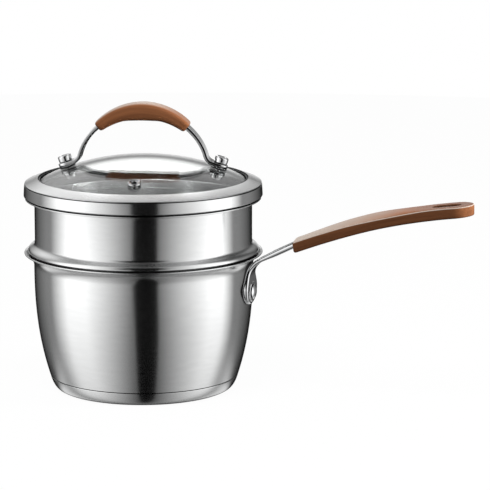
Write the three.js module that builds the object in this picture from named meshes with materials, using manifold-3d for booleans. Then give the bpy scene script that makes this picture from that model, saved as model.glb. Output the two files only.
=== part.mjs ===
// Milk pan with a steamer insert and a domed glass lid.
// Millimetres, +Z up. The origin is the centre of the pan's flat underside and +X runs along the long handle.
import * as THREE from 'three';
import { mergeVertices } from 'three/addons/utils/BufferGeometryUtils.js';
import Module from 'manifold-3d';

const wasm = await Module();
wasm.setup();

// Fits and facets
const FIT = 0.3;
const RADIAL_SEGMENTS = 40;
const SMALL_SEGMENTS = 16;
const ARC_STEPS = 4;

// Pan: thin pressed wall that draws in towards the base, with a pouring flare at the mouth
const PAN_RADIUS = 80.9;
const PAN_HEIGHT = 102.3;
const PAN_DRAW_IN = 10.9;
const PAN_DRAW_POWER = 2.4;
const SHEET = 1;
const FLARE_RADIUS = 9.5;
const FLARE_SWEEP = THREE.MathUtils.degToRad(73);
const CORNER_HEIGHT = 9;
const WALL_STEPS = 5;

// Layered base: steel cap, aluminium core, then the floor of the pan
const SEAM_HEIGHT = 10;
const CAP_SHEET = 0.7;
const CORE_THICKNESS = 4.8;
const BASE_CORNER_WIDTH = 7.5;
const BASE_CORNER_LEAN = 2.8;

// Steamer insert
const STEAMER_STEP_IN = 0.7;
const STEAMER_HEIGHT = 40.5;
const BELL_HEIGHT = 7.2;
const BELL_LIP = 1.5;
const BELL_SEAT_START = THREE.MathUtils.degToRad(25);
const BELL_SEAT_END = THREE.MathUtils.degToRad(61);
const RIM_BEND = 2;
const NECK_DEPTH = 17.3;
const NECK_CLEARANCE = 1;
const NECK_ROUND = 2;
const HOLE_RADIUS = 3;
const HOLE_PITCH = 17;
const HOLE_RINGS = 3;
const HOLES_PER_RING = 6;
const HOLE_SEGMENTS = 8;

// Lid ring, dome and seal
const LID_TURN = THREE.MathUtils.degToRad(14);
const LID_OVERHANG = 1.1;
const LID_BAND_HEIGHT = 10.2;
const LID_BAND_LEAN = 0.5;
const LID_BEVEL_WIDTH = 10.1;
const LID_BEVEL_RISE = 4;
const SKIRT_DEPTH = 6.5;
const SKIRT_CLEARANCE = 0.8;
const DOME_RADIUS = 177;
const GLASS_BELOW_LIP = 2.6;
const GLASS_THICKNESS = 4;
const GLASS_LAP = 2.6;
const SEAL_WALL = 3;
const SEAL_LAP = 1.6;
const DOME_STEPS = 7;

// Steam vent in the dome
const VENT_FROM_LIP = 17.4;
const VENT_FLANGE_RADIUS = 4.8;
const VENT_FLANGE_THICKNESS = 1;
const VENT_BORE_RADIUS = 2;
const VENT_TUBE_WALL = 0.8;

// Lid handle: bent steel strap through a moulded grip, held by two studs
const STUD_FROM_LIP = 21.9;
const STRAP_WIDTH = 12;
const STRAP_THICKNESS = 3;
const FOOT_TOE = 6;
const FOOT_HEEL = 5.3;
const LEG_BEND = 4.5;
const LEG_FROM_STUD = 8;
const LEG_CURVE = 13.7;
const ARCH_RADIUS = 50;
const ARCH_HALF_SPAN = 33;
const ARCH_CROWN_ABOVE_DOME = 34;
const LID_GRIP_HEIGHT = 11.5;
const LID_GRIP_DEPTH = 17;
const LID_GRIP_ROUND = 3.5;
const STRAP_STEPS = 44;
const LID_GRIP_STEPS = 14;

// Stud stack on the dome
const SHANK_RADIUS = 2;
const GASKET_RADIUS = 6;
const GASKET_THICKNESS = 1;
const WASHER_RADIUS = 6;
const WASHER_THICKNESS = 1;
const NUT_RADIUS = 5;
const NUT_HEIGHT = 5.2;
const NUT_ROUND = 1.4;
const NUT_ROOF = 1.5;
const SCREW_HEAD_RADIUS = 4;
const SCREW_HEAD_HEIGHT = 2.4;

// Long handle: tab on the wall, bent bar, moulded grip with a hanging slot
const TAB_RADIUS = 12;
const TAB_CENTRE_BELOW_RIM = 23.3;
const TAB_NECK_RISE = 12.3;
const TAB_THICKNESS = 3.5;
const TAB_SHOULDER = THREE.MathUtils.degToRad(18);
const BOSS_RADIUS = 7.4;
const BOSS_HEIGHT = 0.7;
const BAR_WIDTH = 12;
const BAR_THICKNESS = 3.2;
const BAR_CHAMFER = 0.8;
const BAR_BEND_REACH = 12.1;
const BAR_BEND_DROP = 10.3;
const BAR_RISE_BELOW_RIM = 0.8;
const RIVET_BELOW_TAB_CENTRE = 2.5;
const RIVET_RADIUS = 3;
const RIVET_HEAD_RADIUS = 5.4;
const RIVET_HEAD_HEIGHT = 1.2;
const RIVET_TAIL_RADIUS = 5;
const RIVET_TAIL_HEIGHT = 1.2;
const GRIP_START = 37.1;
const GRIP_LENGTH = 131.5;
const GRIP_START_RISE = 11.7;
const GRIP_END_RISE = 34.2;
const GRIP_SHOULDER_REACH = 77;
const GRIP_SHOULDER_RISE = 30.3;
const GRIP_WIDTH = 28;
const GRIP_NECK_WIDTH = 21;
const GRIP_CROWN = 3.8;
const GRIP_CREASE_ABOVE_BAR = 1.6;
const GRIP_SIDE_HEIGHT = 6.5;
const GRIP_BELLY = 1.1;
const GRIP_STEPS = 14;
const SLOT_LENGTH = 20;
const SLOT_WIDTH = 9;
const SLOT_END_LAND = 9.5;
const TANG_LENGTH = 70;
const TANG_END_ROOM = 1;
const BRACKET_STEPS = 30;
const GRIP_SCREW_PLACE = 0.22;
const GRIP_SCREW_RADIUS = 2;
const GRIP_SCREW_HEAD_RADIUS = 4;
const GRIP_SCREW_HEAD_HEIGHT = 1.4;
const GRIP_SCREW_SHOULDER = 1.7;

// Finishes
const FINISHES = {
  brushedSteel: { color: 0xb8babb, roughness: 0.32, metalness: 1 },
  polishedSteel: { color: 0xd2d3d4, roughness: 0.12, metalness: 1 },
  aluminium: { color: 0xa9acae, roughness: 0.45, metalness: 1 },
  brownGrip: { color: 0x95633f, roughness: 0.4, metalness: 0 },
  glass: { color: 0xdfe6e6, roughness: 0.05, metalness: 0 },
  silicone: { color: 0x3f3f40, roughness: 0.6, metalness: 0 },
};

// Sizes that follow from the ones above
const flareStart = PAN_HEIGHT - (FLARE_RADIUS + SHEET) * Math.sin(FLARE_SWEEP);
const flareReach = FLARE_RADIUS * (1 - Math.cos(FLARE_SWEEP));
const panFloorUnder = CAP_SHEET + CORE_THICKNESS + 2 * FIT;
const panFloorTop = panFloorUnder + SHEET;
const steamerRadius = PAN_RADIUS - STEAMER_STEP_IN;
const steamerTop = PAN_HEIGHT + STEAMER_HEIGHT;
const steamerRimReach = steamerRadius + flareReach;
const steamerFloorUnder = PAN_HEIGHT - NECK_DEPTH;
const lidSeat = steamerTop + FIT;
const lidBandRadius = steamerRimReach + LID_OVERHANG;
const lidBandTopRadius = lidBandRadius - LID_BAND_LEAN;
const lidBandTop = lidSeat + LID_BAND_HEIGHT;
const lidLipRadius = lidBandTopRadius - LID_BEVEL_WIDTH;
const lidLipTop = lidBandTop + LID_BEVEL_RISE;
const skirtRadius = steamerRadius - SHEET - SKIRT_CLEARANCE;
const domeRise = DOME_RADIUS - Math.sqrt(DOME_RADIUS ** 2 - lidLipRadius ** 2);
const domeTop = lidLipTop - GLASS_BELOW_LIP + domeRise;
const glassRadius = lidLipRadius + GLASS_LAP;
const ventDistance = lidLipRadius - VENT_FROM_LIP;
const studDistance = lidLipRadius - STUD_FROM_LIP;
const rimReach = PAN_RADIUS + flareReach;
const tabCentre = PAN_HEIGHT - TAB_CENTRE_BELOW_RIM;
const baseFlatRadius = PAN_RADIUS - PAN_DRAW_IN - BASE_CORNER_WIDTH;

/** A point in a lathe outline: distance from the axis and height. */
function at(radius, height) {
  return new THREE.Vector2(radius, height);
}

/** Outer radius of the pan's wall at a height. */
function panWall(height) {
  const drop = Math.max(0, (flareStart - height) / (flareStart - SEAM_HEIGHT));
  return PAN_RADIUS - PAN_DRAW_IN * drop ** PAN_DRAW_POWER;
}

/** Height of the dome's outer face, or of its inner face with an inset, at a distance from the axis. */
function domeHeight(distance, inset = 0) {
  const radius = DOME_RADIUS - inset;
  return domeTop - DOME_RADIUS + Math.sqrt(radius ** 2 - distance ** 2);
}

/** Height of the underside of the lid ring's bevel at a distance from the axis. */
function bevelUnderside(distance) {
  const share = (lidBandTopRadius - distance) / LID_BEVEL_WIDTH;
  const slope = Math.hypot(1, LID_BEVEL_RISE / LID_BEVEL_WIDTH);
  return lidBandTop + share * LID_BEVEL_RISE - SHEET * slope;
}

/** Points of a pouring flare: an arc that starts upright at the wall and turns outwards. */
function flareArc(wallRadius, start, offset, from, to, steps = ARC_STEPS) {
  const radius = FLARE_RADIUS + offset;
  return Array.from({ length: steps + 1 }, (_, i) => {
    const angle = from + ((to - from) * i) / steps;
    return at(wallRadius + FLARE_RADIUS - radius * Math.cos(angle), start + radius * Math.sin(angle));
  });
}

/** Points of a quadratic curve between two outline points, pulled to a third. */
function softCorner(from, pull, to, steps = ARC_STEPS) {
  return new THREE.QuadraticBezierCurve(from, pull, to).getPoints(steps);
}

/** Points sampled evenly between two heights by a radius formula. */
function sampled(from, to, steps, radiusAt) {
  return Array.from({ length: steps + 1 }, (_, i) => {
    const height = from + ((to - from) * i) / steps;
    return at(radiusAt(height), height);
  });
}

/** Welds a geometry by position, drops flat triangles and turns its faces outwards. */
function weld(geometry) {
  const bare = geometry.index ? geometry.clone() : geometry;
  bare.deleteAttribute('normal');
  bare.deleteAttribute('uv');
  const merged = mergeVertices(bare, 1e-4);
  const place = merged.getAttribute('position');
  const corners = [];
  let volume = 0;
  const [a, b, c] = [new THREE.Vector3(), new THREE.Vector3(), new THREE.Vector3()];
  for (let i = 0; i < merged.index.count; i += 3) {
    const tri = [merged.index.getX(i), merged.index.getX(i + 1), merged.index.getX(i + 2)];
    if (new Set(tri).size < 3) continue;
    a.fromBufferAttribute(place, tri[0]);
    b.fromBufferAttribute(place, tri[1]);
    c.fromBufferAttribute(place, tri[2]);
    volume += a.dot(b.clone().cross(c));
    corners.push(tri);
  }
  merged.setIndex(corners.flatMap((tri) => (volume < 0 ? tri.reverse() : tri)));
  return merged;
}

/** Revolves a closed outline about +Z. */
function revolve(outline, segments = RADIAL_SEGMENTS) {
  const closed = outline[0].x === 0 ? outline : [...outline, outline[0].clone()];
  return weld(new THREE.LatheGeometry(closed, segments).rotateX(Math.PI / 2));
}

/** A plain round bar along +Z between two heights. */
function roundBar(radius, from, to, segments = SMALL_SEGMENTS) {
  return revolve([at(0, from), at(radius, from), at(radius, to), at(0, to)], segments);
}

/** Carries a flat outline along a path that stays in the XZ plane. */
function sweep(outline, path, steps) {
  return weld(new THREE.ExtrudeGeometry(outline, { steps, extrudePath: path, curveSegments: ARC_STEPS }));
}

/** A rectangle with cut corners, centred on the path it is carried along. */
function barOutline(width, thickness, chamfer) {
  const [x, y] = [width / 2, thickness / 2];
  return new THREE.Shape([
    at(-x + chamfer, -y), at(x - chamfer, -y), at(x, -y + chamfer), at(x, y - chamfer),
    at(x - chamfer, y), at(-x + chamfer, y), at(-x, y - chamfer), at(-x, -y + chamfer),
  ]);
}

/** A closed geometry as a solid for joining and cutting. */
function solid(geometry) {
  const mesh = new wasm.Mesh({
    numProp: 3,
    vertProperties: new Float32Array(geometry.getAttribute('position').array),
    triVerts: new Uint32Array(geometry.index.array),
  });
  return new wasm.Manifold(mesh);
}

/** A joined or cut solid as a geometry again. */
function surface(body) {
  const mesh = body.getMesh();
  const geometry = new THREE.BufferGeometry();
  geometry.setAttribute('position', new THREE.BufferAttribute(mesh.vertProperties, 3));
  geometry.setIndex(new THREE.BufferAttribute(mesh.triVerts, 1));
  return geometry;
}

/** Cuts a list of closed tools out of a closed geometry. */
function cut(geometry, tools) {
  return surface(tools.reduce((body, tool) => body.subtract(solid(tool)), solid(geometry)));
}

/** A named sub-part with its finish. */
function piece(name, geometry, finish) {
  const mesh = new THREE.Mesh(geometry, new THREE.MeshStandardMaterial(FINISHES[finish]));
  mesh.name = name;
  return mesh;
}

/** A group placed on the dome, with +Z along the dome's outward normal. */
function onDome(distance, turn) {
  const stand = new THREE.Group();
  stand.rotation.set(0, Math.asin(distance / DOME_RADIUS), turn, 'ZYX');
  const height = domeHeight(distance);
  stand.position.set(distance * Math.cos(turn), distance * Math.sin(turn), height);
  stand.updateMatrix();
  return stand;
}

// Pan body
const mouthArc = flareArc(PAN_RADIUS, flareStart, 0, 0, FLARE_SWEEP);
const mouthInner = flareArc(PAN_RADIUS, flareStart, SHEET, FLARE_SWEEP, 0);
const tuckRadius = panWall(SEAM_HEIGHT) - CAP_SHEET - FIT;
const cornerTop = panFloorTop + CORNER_HEIGHT;
const rivetHeight = tabCentre - RIVET_BELOW_TAB_CENTRE;
const panOutline = [
  at(0, panFloorUnder),
  ...softCorner(
    at(baseFlatRadius, panFloorUnder),
    at(tuckRadius - SHEET, panFloorUnder),
    at(tuckRadius, SEAM_HEIGHT),
  ),
  ...sampled(SEAM_HEIGHT + FIT, flareStart, WALL_STEPS, panWall),
  ...mouthArc.slice(1),
  ...mouthInner,
  ...sampled(flareStart, cornerTop, WALL_STEPS, (height) => panWall(height) - SHEET).slice(1),
  ...softCorner(
    at(panWall(cornerTop) - SHEET, cornerTop),
    at(tuckRadius - SHEET, panFloorTop),
    at(baseFlatRadius - SHEET, panFloorTop),
  ).slice(1),
  at(0, panFloorTop),
];
const alongX = new THREE.Matrix4().makeRotationY(Math.PI / 2).setPosition(0, 0, rivetHeight);
const rivetHole = roundBar(RIVET_RADIUS + FIT, 0, rimReach + BAR_BEND_REACH).applyMatrix4(alongX);
const panBody = cut(revolve(panOutline), [rivetHole]);

// Layered base
const capWall = panWall(SEAM_HEIGHT);
const capCorner = (inset) => softCorner(
  at(baseFlatRadius, inset),
  at(capWall - BASE_CORNER_LEAN - inset, inset),
  at(capWall - inset, SEAM_HEIGHT),
);
const baseCap = revolve([
  at(0, 0),
  ...capCorner(0),
  ...capCorner(CAP_SHEET).reverse(),
  at(0, CAP_SHEET),
]);
const baseCore = roundBar(baseFlatRadius, CAP_SHEET + FIT, CAP_SHEET + FIT + CORE_THICKNESS, RADIAL_SEGMENTS);

// Steamer insert: perforated floor, neck in the pan's mouth, bell on the flare, straight wall, flat rim
const neckRadius = panWall(steamerFloorUnder) - SHEET - NECK_CLEARANCE;
const seatOffset = SHEET + FIT;
const bellTip = flareArc(PAN_RADIUS, flareStart, seatOffset, BELL_SEAT_END, BELL_SEAT_END, 1)[0];
const neckTop = flareArc(PAN_RADIUS, flareStart, seatOffset, BELL_SEAT_START, BELL_SEAT_START, 1)[0].y - NECK_ROUND;
const bellEdge = at(bellTip.x, bellTip.y + BELL_LIP);
const bellTop = bellEdge.y + BELL_HEIGHT;
const bellMiddle = (bellEdge.y + bellTop) / 2;
const bellCurve = new THREE.CubicBezierCurve(
  bellEdge,
  at(bellEdge.x, bellMiddle),
  at(steamerRadius, bellMiddle),
  at(steamerRadius, bellTop),
);
const bellInnerEnd = BELL_SEAT_END - SHEET / FLARE_RADIUS;
const rimUnder = steamerTop - SHEET;
const steamerOutline = [
  at(0, steamerFloorUnder),
  at(neckRadius - NECK_ROUND, steamerFloorUnder),
  at(neckRadius, steamerFloorUnder + NECK_ROUND),
  at(neckRadius, neckTop),
  ...flareArc(PAN_RADIUS, flareStart, seatOffset, BELL_SEAT_START, BELL_SEAT_END),
  ...bellCurve.getPoints(ARC_STEPS + 1),
  ...softCorner(
    at(steamerRadius, rimUnder - RIM_BEND),
    at(steamerRadius, rimUnder),
    at(steamerRadius + RIM_BEND, rimUnder),
  ),
  at(steamerRimReach, rimUnder),
  at(steamerRimReach, steamerTop),
  ...softCorner(
    at(steamerRadius + RIM_BEND, steamerTop),
    at(steamerRadius - SHEET, steamerTop),
    at(steamerRadius - SHEET, rimUnder - RIM_BEND),
  ),
  at(steamerRadius - SHEET, bellTop - SHEET / 2),
  ...flareArc(PAN_RADIUS, flareStart, seatOffset + SHEET, bellInnerEnd, BELL_SEAT_START),
  at(neckRadius - SHEET, neckTop),
  at(neckRadius - SHEET, steamerFloorUnder + NECK_ROUND),
  at(neckRadius - NECK_ROUND - SHEET / 2, steamerFloorUnder + SHEET),
  at(0, steamerFloorUnder + SHEET),
];
const steamHoles = [];
for (let ring = 0; ring <= HOLE_RINGS; ring += 1) {
  const count = Math.max(1, ring * HOLES_PER_RING);
  for (let i = 0; i < count; i += 1) {
    const turn = (2 * Math.PI * i) / count;
    const hole = roundBar(HOLE_RADIUS, steamerFloorUnder - SHEET, steamerFloorUnder + 2 * SHEET, HOLE_SEGMENTS);
    steamHoles.push(hole.translate(ring * HOLE_PITCH * Math.cos(turn), ring * HOLE_PITCH * Math.sin(turn), 0));
  }
}
const steamerBasket = cut(revolve(steamerOutline), steamHoles);

// Lid ring: skirt, seat flange, band, bevel and the lip that holds the glass
const lipFoot = domeHeight(lidLipRadius) + FIT;
const lidRim = revolve([
  at(skirtRadius, lidSeat - SKIRT_DEPTH),
  at(skirtRadius, lidSeat),
  at(lidBandRadius, lidSeat),
  at(lidBandTopRadius, lidBandTop),
  at(lidLipRadius, lidLipTop),
  at(lidLipRadius, lipFoot),
  at(lidLipRadius + SHEET, lipFoot),
  at(lidLipRadius + SHEET, bevelUnderside(lidLipRadius + SHEET)),
  at(lidBandTopRadius - SHEET, bevelUnderside(lidBandTopRadius - SHEET)),
  at(lidBandRadius - SHEET, lidSeat + SHEET),
  at(skirtRadius - SHEET, lidSeat + SHEET),
  at(skirtRadius - SHEET, lidSeat - SKIRT_DEPTH),
]);

// Glass dome with its vent hole and stud holes
const ventStand = onDome(ventDistance, -Math.PI / 2);
const studSides = [['left', Math.PI], ['right', 0]];
const studStands = studSides.map(([side, turn]) => [side, onDome(studDistance, turn)]);
const domeArc = (inset, from, to) => Array.from({ length: DOME_STEPS + 1 }, (_, i) => {
  const distance = from + ((to - from) * i) / DOME_STEPS;
  return at(distance, domeHeight(distance, inset));
});
const holeReach = 2 * GLASS_THICKNESS;
const ventTubeRadius = VENT_BORE_RADIUS + VENT_TUBE_WALL;
const ventHole = roundBar(ventTubeRadius + FIT, -holeReach, holeReach).applyMatrix4(ventStand.matrix);
const studHoles = studStands.map(([, stand]) => (
  roundBar(SHANK_RADIUS + FIT, -holeReach, holeReach).applyMatrix4(stand.matrix)
));
const lidGlass = cut(
  revolve([...domeArc(GLASS_THICKNESS, 0, glassRadius), ...domeArc(0, glassRadius, 0)]),
  [ventHole, ...studHoles],
);

// Seal: a soft channel round the edge of the glass, standing on the seat flange
const sealFoot = lidSeat + SHEET + FIT;
const sealOuter = glassRadius + SEAL_WALL;
const sealLip = lidLipRadius + SHEET + FIT;
const sealInner = glassRadius - SEAL_LAP;
const rimSeal = revolve([
  at(sealInner, sealFoot),
  at(sealOuter, sealFoot),
  at(sealOuter, bevelUnderside(sealOuter) - FIT),
  at(sealLip, bevelUnderside(sealLip) - FIT),
  at(sealLip, domeHeight(sealLip) + FIT),
  at(glassRadius + FIT, domeHeight(glassRadius) + FIT),
  at(glassRadius + FIT, domeHeight(glassRadius, GLASS_THICKNESS) - FIT),
  at(sealInner, domeHeight(sealInner, GLASS_THICKNESS) - FIT),
]);

// Vent eyelet: a tube through the dome with a flange on either side
const ventUnder = -GLASS_THICKNESS - FIT;
const ventEyelet = revolve([
  at(VENT_BORE_RADIUS, ventUnder - VENT_FLANGE_THICKNESS),
  at(VENT_FLANGE_RADIUS, ventUnder - VENT_FLANGE_THICKNESS),
  at(VENT_FLANGE_RADIUS, ventUnder),
  at(ventTubeRadius, ventUnder),
  at(ventTubeRadius, FIT),
  at(VENT_FLANGE_RADIUS, FIT),
  at(VENT_FLANGE_RADIUS, FIT + VENT_FLANGE_THICKNESS / 2),
  at(VENT_FLANGE_RADIUS - VENT_FLANGE_THICKNESS / 2, FIT + VENT_FLANGE_THICKNESS),
  at(VENT_BORE_RADIUS, FIT + VENT_FLANGE_THICKNESS),
], SMALL_SEGMENTS);

// Stud stack, measured along the stud from the outer face of the dome
const gasketFoot = FIT;
const strapFoot = gasketFoot + GASKET_THICKNESS + FIT;
const nutFoot = strapFoot + STRAP_THICKNESS + FIT;
const lowerGasketTop = -GLASS_THICKNESS - FIT;
const washerTop = lowerGasketTop - GASKET_THICKNESS - FIT;
const screwSeat = washerTop - WASHER_THICKNESS - FIT;
const boreRadius = SHANK_RADIUS + FIT;
const boreTop = nutFoot + NUT_HEIGHT - NUT_ROOF;
const disc = (radius, bore, from, to) => (
  revolve([at(bore, from), at(radius, from), at(radius, to), at(bore, to)], SMALL_SEGMENTS)
);
const upperGasket = disc(GASKET_RADIUS, boreRadius, gasketFoot, gasketFoot + GASKET_THICKNESS);
const lowerGasket = disc(GASKET_RADIUS, boreRadius, lowerGasketTop - GASKET_THICKNESS, lowerGasketTop);
const studWasher = disc(WASHER_RADIUS, boreRadius, washerTop - WASHER_THICKNESS, washerTop);
const capNut = revolve([
  at(0, boreTop),
  at(boreRadius, boreTop),
  at(boreRadius, nutFoot),
  at(NUT_RADIUS - NUT_ROUND / 2, nutFoot),
  at(NUT_RADIUS, nutFoot + NUT_ROUND),
  at(NUT_RADIUS, nutFoot + NUT_HEIGHT - NUT_ROUND),
  at(NUT_RADIUS - NUT_ROUND, nutFoot + NUT_HEIGHT),
  at(0, nutFoot + NUT_HEIGHT),
], SMALL_SEGMENTS);
const studScrew = revolve([
  at(0, screwSeat - SCREW_HEAD_HEIGHT),
  at(SCREW_HEAD_RADIUS / 2, screwSeat - SCREW_HEAD_HEIGHT),
  at(SCREW_HEAD_RADIUS, screwSeat - SCREW_HEAD_HEIGHT / 2),
  at(SCREW_HEAD_RADIUS, screwSeat),
  at(SHANK_RADIUS, screwSeat),
  at(SHANK_RADIUS, boreTop - FIT),
  at(0, boreTop - FIT),
], SMALL_SEGMENTS);

// Lid handle strap: foot along the dome, bend, leg up to the grip, arch, and the same mirrored
const studTilt = Math.asin(studDistance / DOME_RADIUS);
const footLine = (along) => {
  const lift = strapFoot + STRAP_THICKNESS / 2;
  return new THREE.Vector3(
    studDistance + lift * Math.sin(studTilt) + along * Math.cos(studTilt),
    0,
    domeHeight(studDistance) + lift * Math.cos(studTilt) - along * Math.sin(studTilt),
  );
};
const archCrown = domeTop + ARCH_CROWN_ABOVE_DOME;
const archPoint = (x) => new THREE.Vector3(x, 0, archCrown - ARCH_RADIUS + Math.sqrt(ARCH_RADIUS ** 2 - x ** 2));
const legCorner = footLine((studDistance - LEG_FROM_STUD - footLine(0).x) / Math.cos(studTilt));
const legTop = archPoint(ARCH_HALF_SPAN);
const mirrored = (point) => point.clone().setX(-point.x);
const archAngle = Math.asin(ARCH_HALF_SPAN / ARCH_RADIUS);
const legPull = new THREE.Vector3(Math.cos(archAngle), 0, -Math.sin(archAngle)).multiplyScalar(LEG_CURVE).add(legTop);
const legFoot = legCorner.clone().lerp(legPull, LEG_BEND / legCorner.distanceTo(legPull));
const archPoints = Array.from({ length: LID_GRIP_STEPS + 1 }, (_, i) => (
  archPoint(ARCH_RADIUS * Math.sin(archAngle * ((2 * i) / LID_GRIP_STEPS - 1)))
));
const archPath = new THREE.CatmullRomCurve3(archPoints);
const heel = footLine(-FOOT_HEEL);
const strapPath = new THREE.CurvePath();
strapPath.add(new THREE.LineCurve3(mirrored(footLine(FOOT_TOE)), mirrored(heel)));
strapPath.add(new THREE.QuadraticBezierCurve3(mirrored(heel), mirrored(legCorner), mirrored(legFoot)));
strapPath.add(new THREE.QuadraticBezierCurve3(mirrored(legFoot), mirrored(legPull), mirrored(legTop)));
strapPath.add(archPath);
strapPath.add(new THREE.QuadraticBezierCurve3(legTop, legPull, legFoot));
strapPath.add(new THREE.QuadraticBezierCurve3(legFoot, legCorner, heel));
strapPath.add(new THREE.LineCurve3(heel, footLine(FOOT_TOE)));
const strapBores = studStands.map(([, stand]) => (
  roundBar(boreRadius, 0, nutFoot).applyMatrix4(stand.matrix)
));
const strapOutline = barOutline(STRAP_WIDTH, STRAP_THICKNESS, STRAP_THICKNESS / 6);
const lidStrap = cut(sweep(strapOutline, strapPath, STRAP_STEPS), strapBores);

// Lid grip: rounded section along the arch, with a channel for the strap
const strapChannel = sweep(
  barOutline(STRAP_WIDTH + 2 * FIT, STRAP_THICKNESS + 2 * FIT, STRAP_THICKNESS / 6),
  strapPath,
  STRAP_STEPS,
);
const lidGrip = cut(
  sweep(barOutline(LID_GRIP_DEPTH, LID_GRIP_HEIGHT, LID_GRIP_ROUND), archPath, LID_GRIP_STEPS),
  [strapChannel],
);

// Long handle bracket: teardrop tab curved to the wall, joined to a bar that bends out and becomes the tang
const tabFoot = tabCentre - TAB_RADIUS;
const tabTop = tabCentre + TAB_NECK_RISE;
const neckHalf = BAR_WIDTH / 2;
const tabShape = new THREE.Shape();
tabShape.moveTo(neckHalf, tabTop);
tabShape.lineTo(-neckHalf, tabTop);
tabShape.absarc(0, tabCentre, TAB_RADIUS, Math.PI - TAB_SHOULDER, 2 * Math.PI + TAB_SHOULDER, false);
const facingX = new THREE.Matrix4().makeBasis(
  new THREE.Vector3(0, 1, 0),
  new THREE.Vector3(0, 0, 1),
  new THREE.Vector3(1, 0, 0),
);
const tabBlank = weld(new THREE.ExtrudeGeometry(tabShape, {
  depth: rimReach,
  bevelEnabled: false,
  curveSegments: SMALL_SEGMENTS,
}).applyMatrix4(facingX));
const tabShell = revolve([
  ...sampled(tabFoot - SHEET, tabTop + SHEET, WALL_STEPS, (height) => panWall(height) + FIT),
  ...sampled(tabTop + SHEET, tabFoot - SHEET, WALL_STEPS, (height) => panWall(height) + FIT + TAB_THICKNESS),
], 2 * RADIAL_SEGMENTS);
const tabFace = panWall(rivetHeight) + FIT + TAB_THICKNESS;
const boss = roundBar(BOSS_RADIUS, tabFace - TAB_THICKNESS / 2, tabFace + BOSS_HEIGHT).applyMatrix4(alongX);
const barFoot = new THREE.Vector3(panWall(tabTop) + FIT + BAR_THICKNESS / 2, 0, PAN_HEIGHT - BAR_BEND_DROP);
const gripFrom = new THREE.Vector3(PAN_RADIUS + GRIP_START, 0, PAN_HEIGHT + GRIP_START_RISE);
const bendEnd = new THREE.Vector3(PAN_RADIUS + BAR_BEND_REACH, 0, PAN_HEIGHT - BAR_RISE_BELOW_RIM);
const barSlope = (gripFrom.z - bendEnd.z) / (gripFrom.x - bendEnd.x);
const bendPull = new THREE.Vector3(barFoot.x, 0, bendEnd.z - barSlope * (bendEnd.x - barFoot.x));
const gripTo = new THREE.Vector3(gripFrom.x + GRIP_LENGTH, 0, gripFrom.z + GRIP_END_RISE);
const gripPull = new THREE.Vector3(gripFrom.x + GRIP_SHOULDER_REACH, 0, gripFrom.z + GRIP_SHOULDER_RISE);
const gripPath = new THREE.QuadraticBezierCurve3(gripFrom, gripPull, gripTo);

/** The bar's centre line from the tab to the end of the tang, which runs inside the grip. */
function bracketPath(tangLength) {
  const share = tangLength / gripPath.getLength();
  const tang = Array.from({ length: GRIP_STEPS + 1 }, (_, i) => gripPath.getPointAt((share * i) / GRIP_STEPS));
  const path = new THREE.CurvePath();
  path.add(new THREE.LineCurve3(barFoot.clone().setZ(rivetHeight + BOSS_RADIUS + FIT), barFoot));
  path.add(new THREE.QuadraticBezierCurve3(barFoot, bendPull, bendEnd));
  path.add(new THREE.LineCurve3(bendEnd, gripFrom));
  path.add(new THREE.CatmullRomCurve3(tang));
  return path;
}

const bar = sweep(barOutline(BAR_WIDTH, BAR_THICKNESS, BAR_CHAMFER), bracketPath(TANG_LENGTH), BRACKET_STEPS);
const screwPoint = gripPath.getPointAt(GRIP_SCREW_PLACE);
const screwAlong = gripPath.getTangentAt(GRIP_SCREW_PLACE);
const screwStand = new THREE.Group();
screwStand.position.copy(screwPoint);
screwStand.rotation.y = -Math.atan2(screwAlong.z, screwAlong.x);
screwStand.updateMatrix();
const screwBore = roundBar(GRIP_SCREW_RADIUS + FIT, -GRIP_WIDTH, BAR_THICKNESS).applyMatrix4(screwStand.matrix);
const handleBracket = surface(
  solid(tabBlank).intersect(solid(tabShell))
    .add(solid(boss))
    .add(solid(bar))
    .subtract(solid(rivetHole))
    .subtract(solid(screwBore)),
);

// Rivet through the boss, the tab and the pan's wall
const rivetSeat = tabFace + BOSS_HEIGHT + FIT;
const rivetTail = panWall(rivetHeight) - SHEET - FIT;
const handleRivet = revolve([
  at(0, rivetTail - RIVET_TAIL_HEIGHT),
  at(RIVET_TAIL_RADIUS - RIVET_TAIL_HEIGHT, rivetTail - RIVET_TAIL_HEIGHT),
  at(RIVET_TAIL_RADIUS, rivetTail - RIVET_TAIL_HEIGHT / 2),
  at(RIVET_TAIL_RADIUS, rivetTail - FIT),
  at(RIVET_RADIUS, rivetTail - FIT),
  at(RIVET_RADIUS, rivetSeat),
  at(RIVET_HEAD_RADIUS, rivetSeat),
  at(RIVET_HEAD_RADIUS, rivetSeat + RIVET_HEAD_HEIGHT / 2),
  at(RIVET_HEAD_RADIUS - RIVET_HEAD_HEIGHT / 2, rivetSeat + RIVET_HEAD_HEIGHT),
  at(0, rivetSeat + RIVET_HEAD_HEIGHT),
], SMALL_SEGMENTS).applyMatrix4(alongX);

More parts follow.
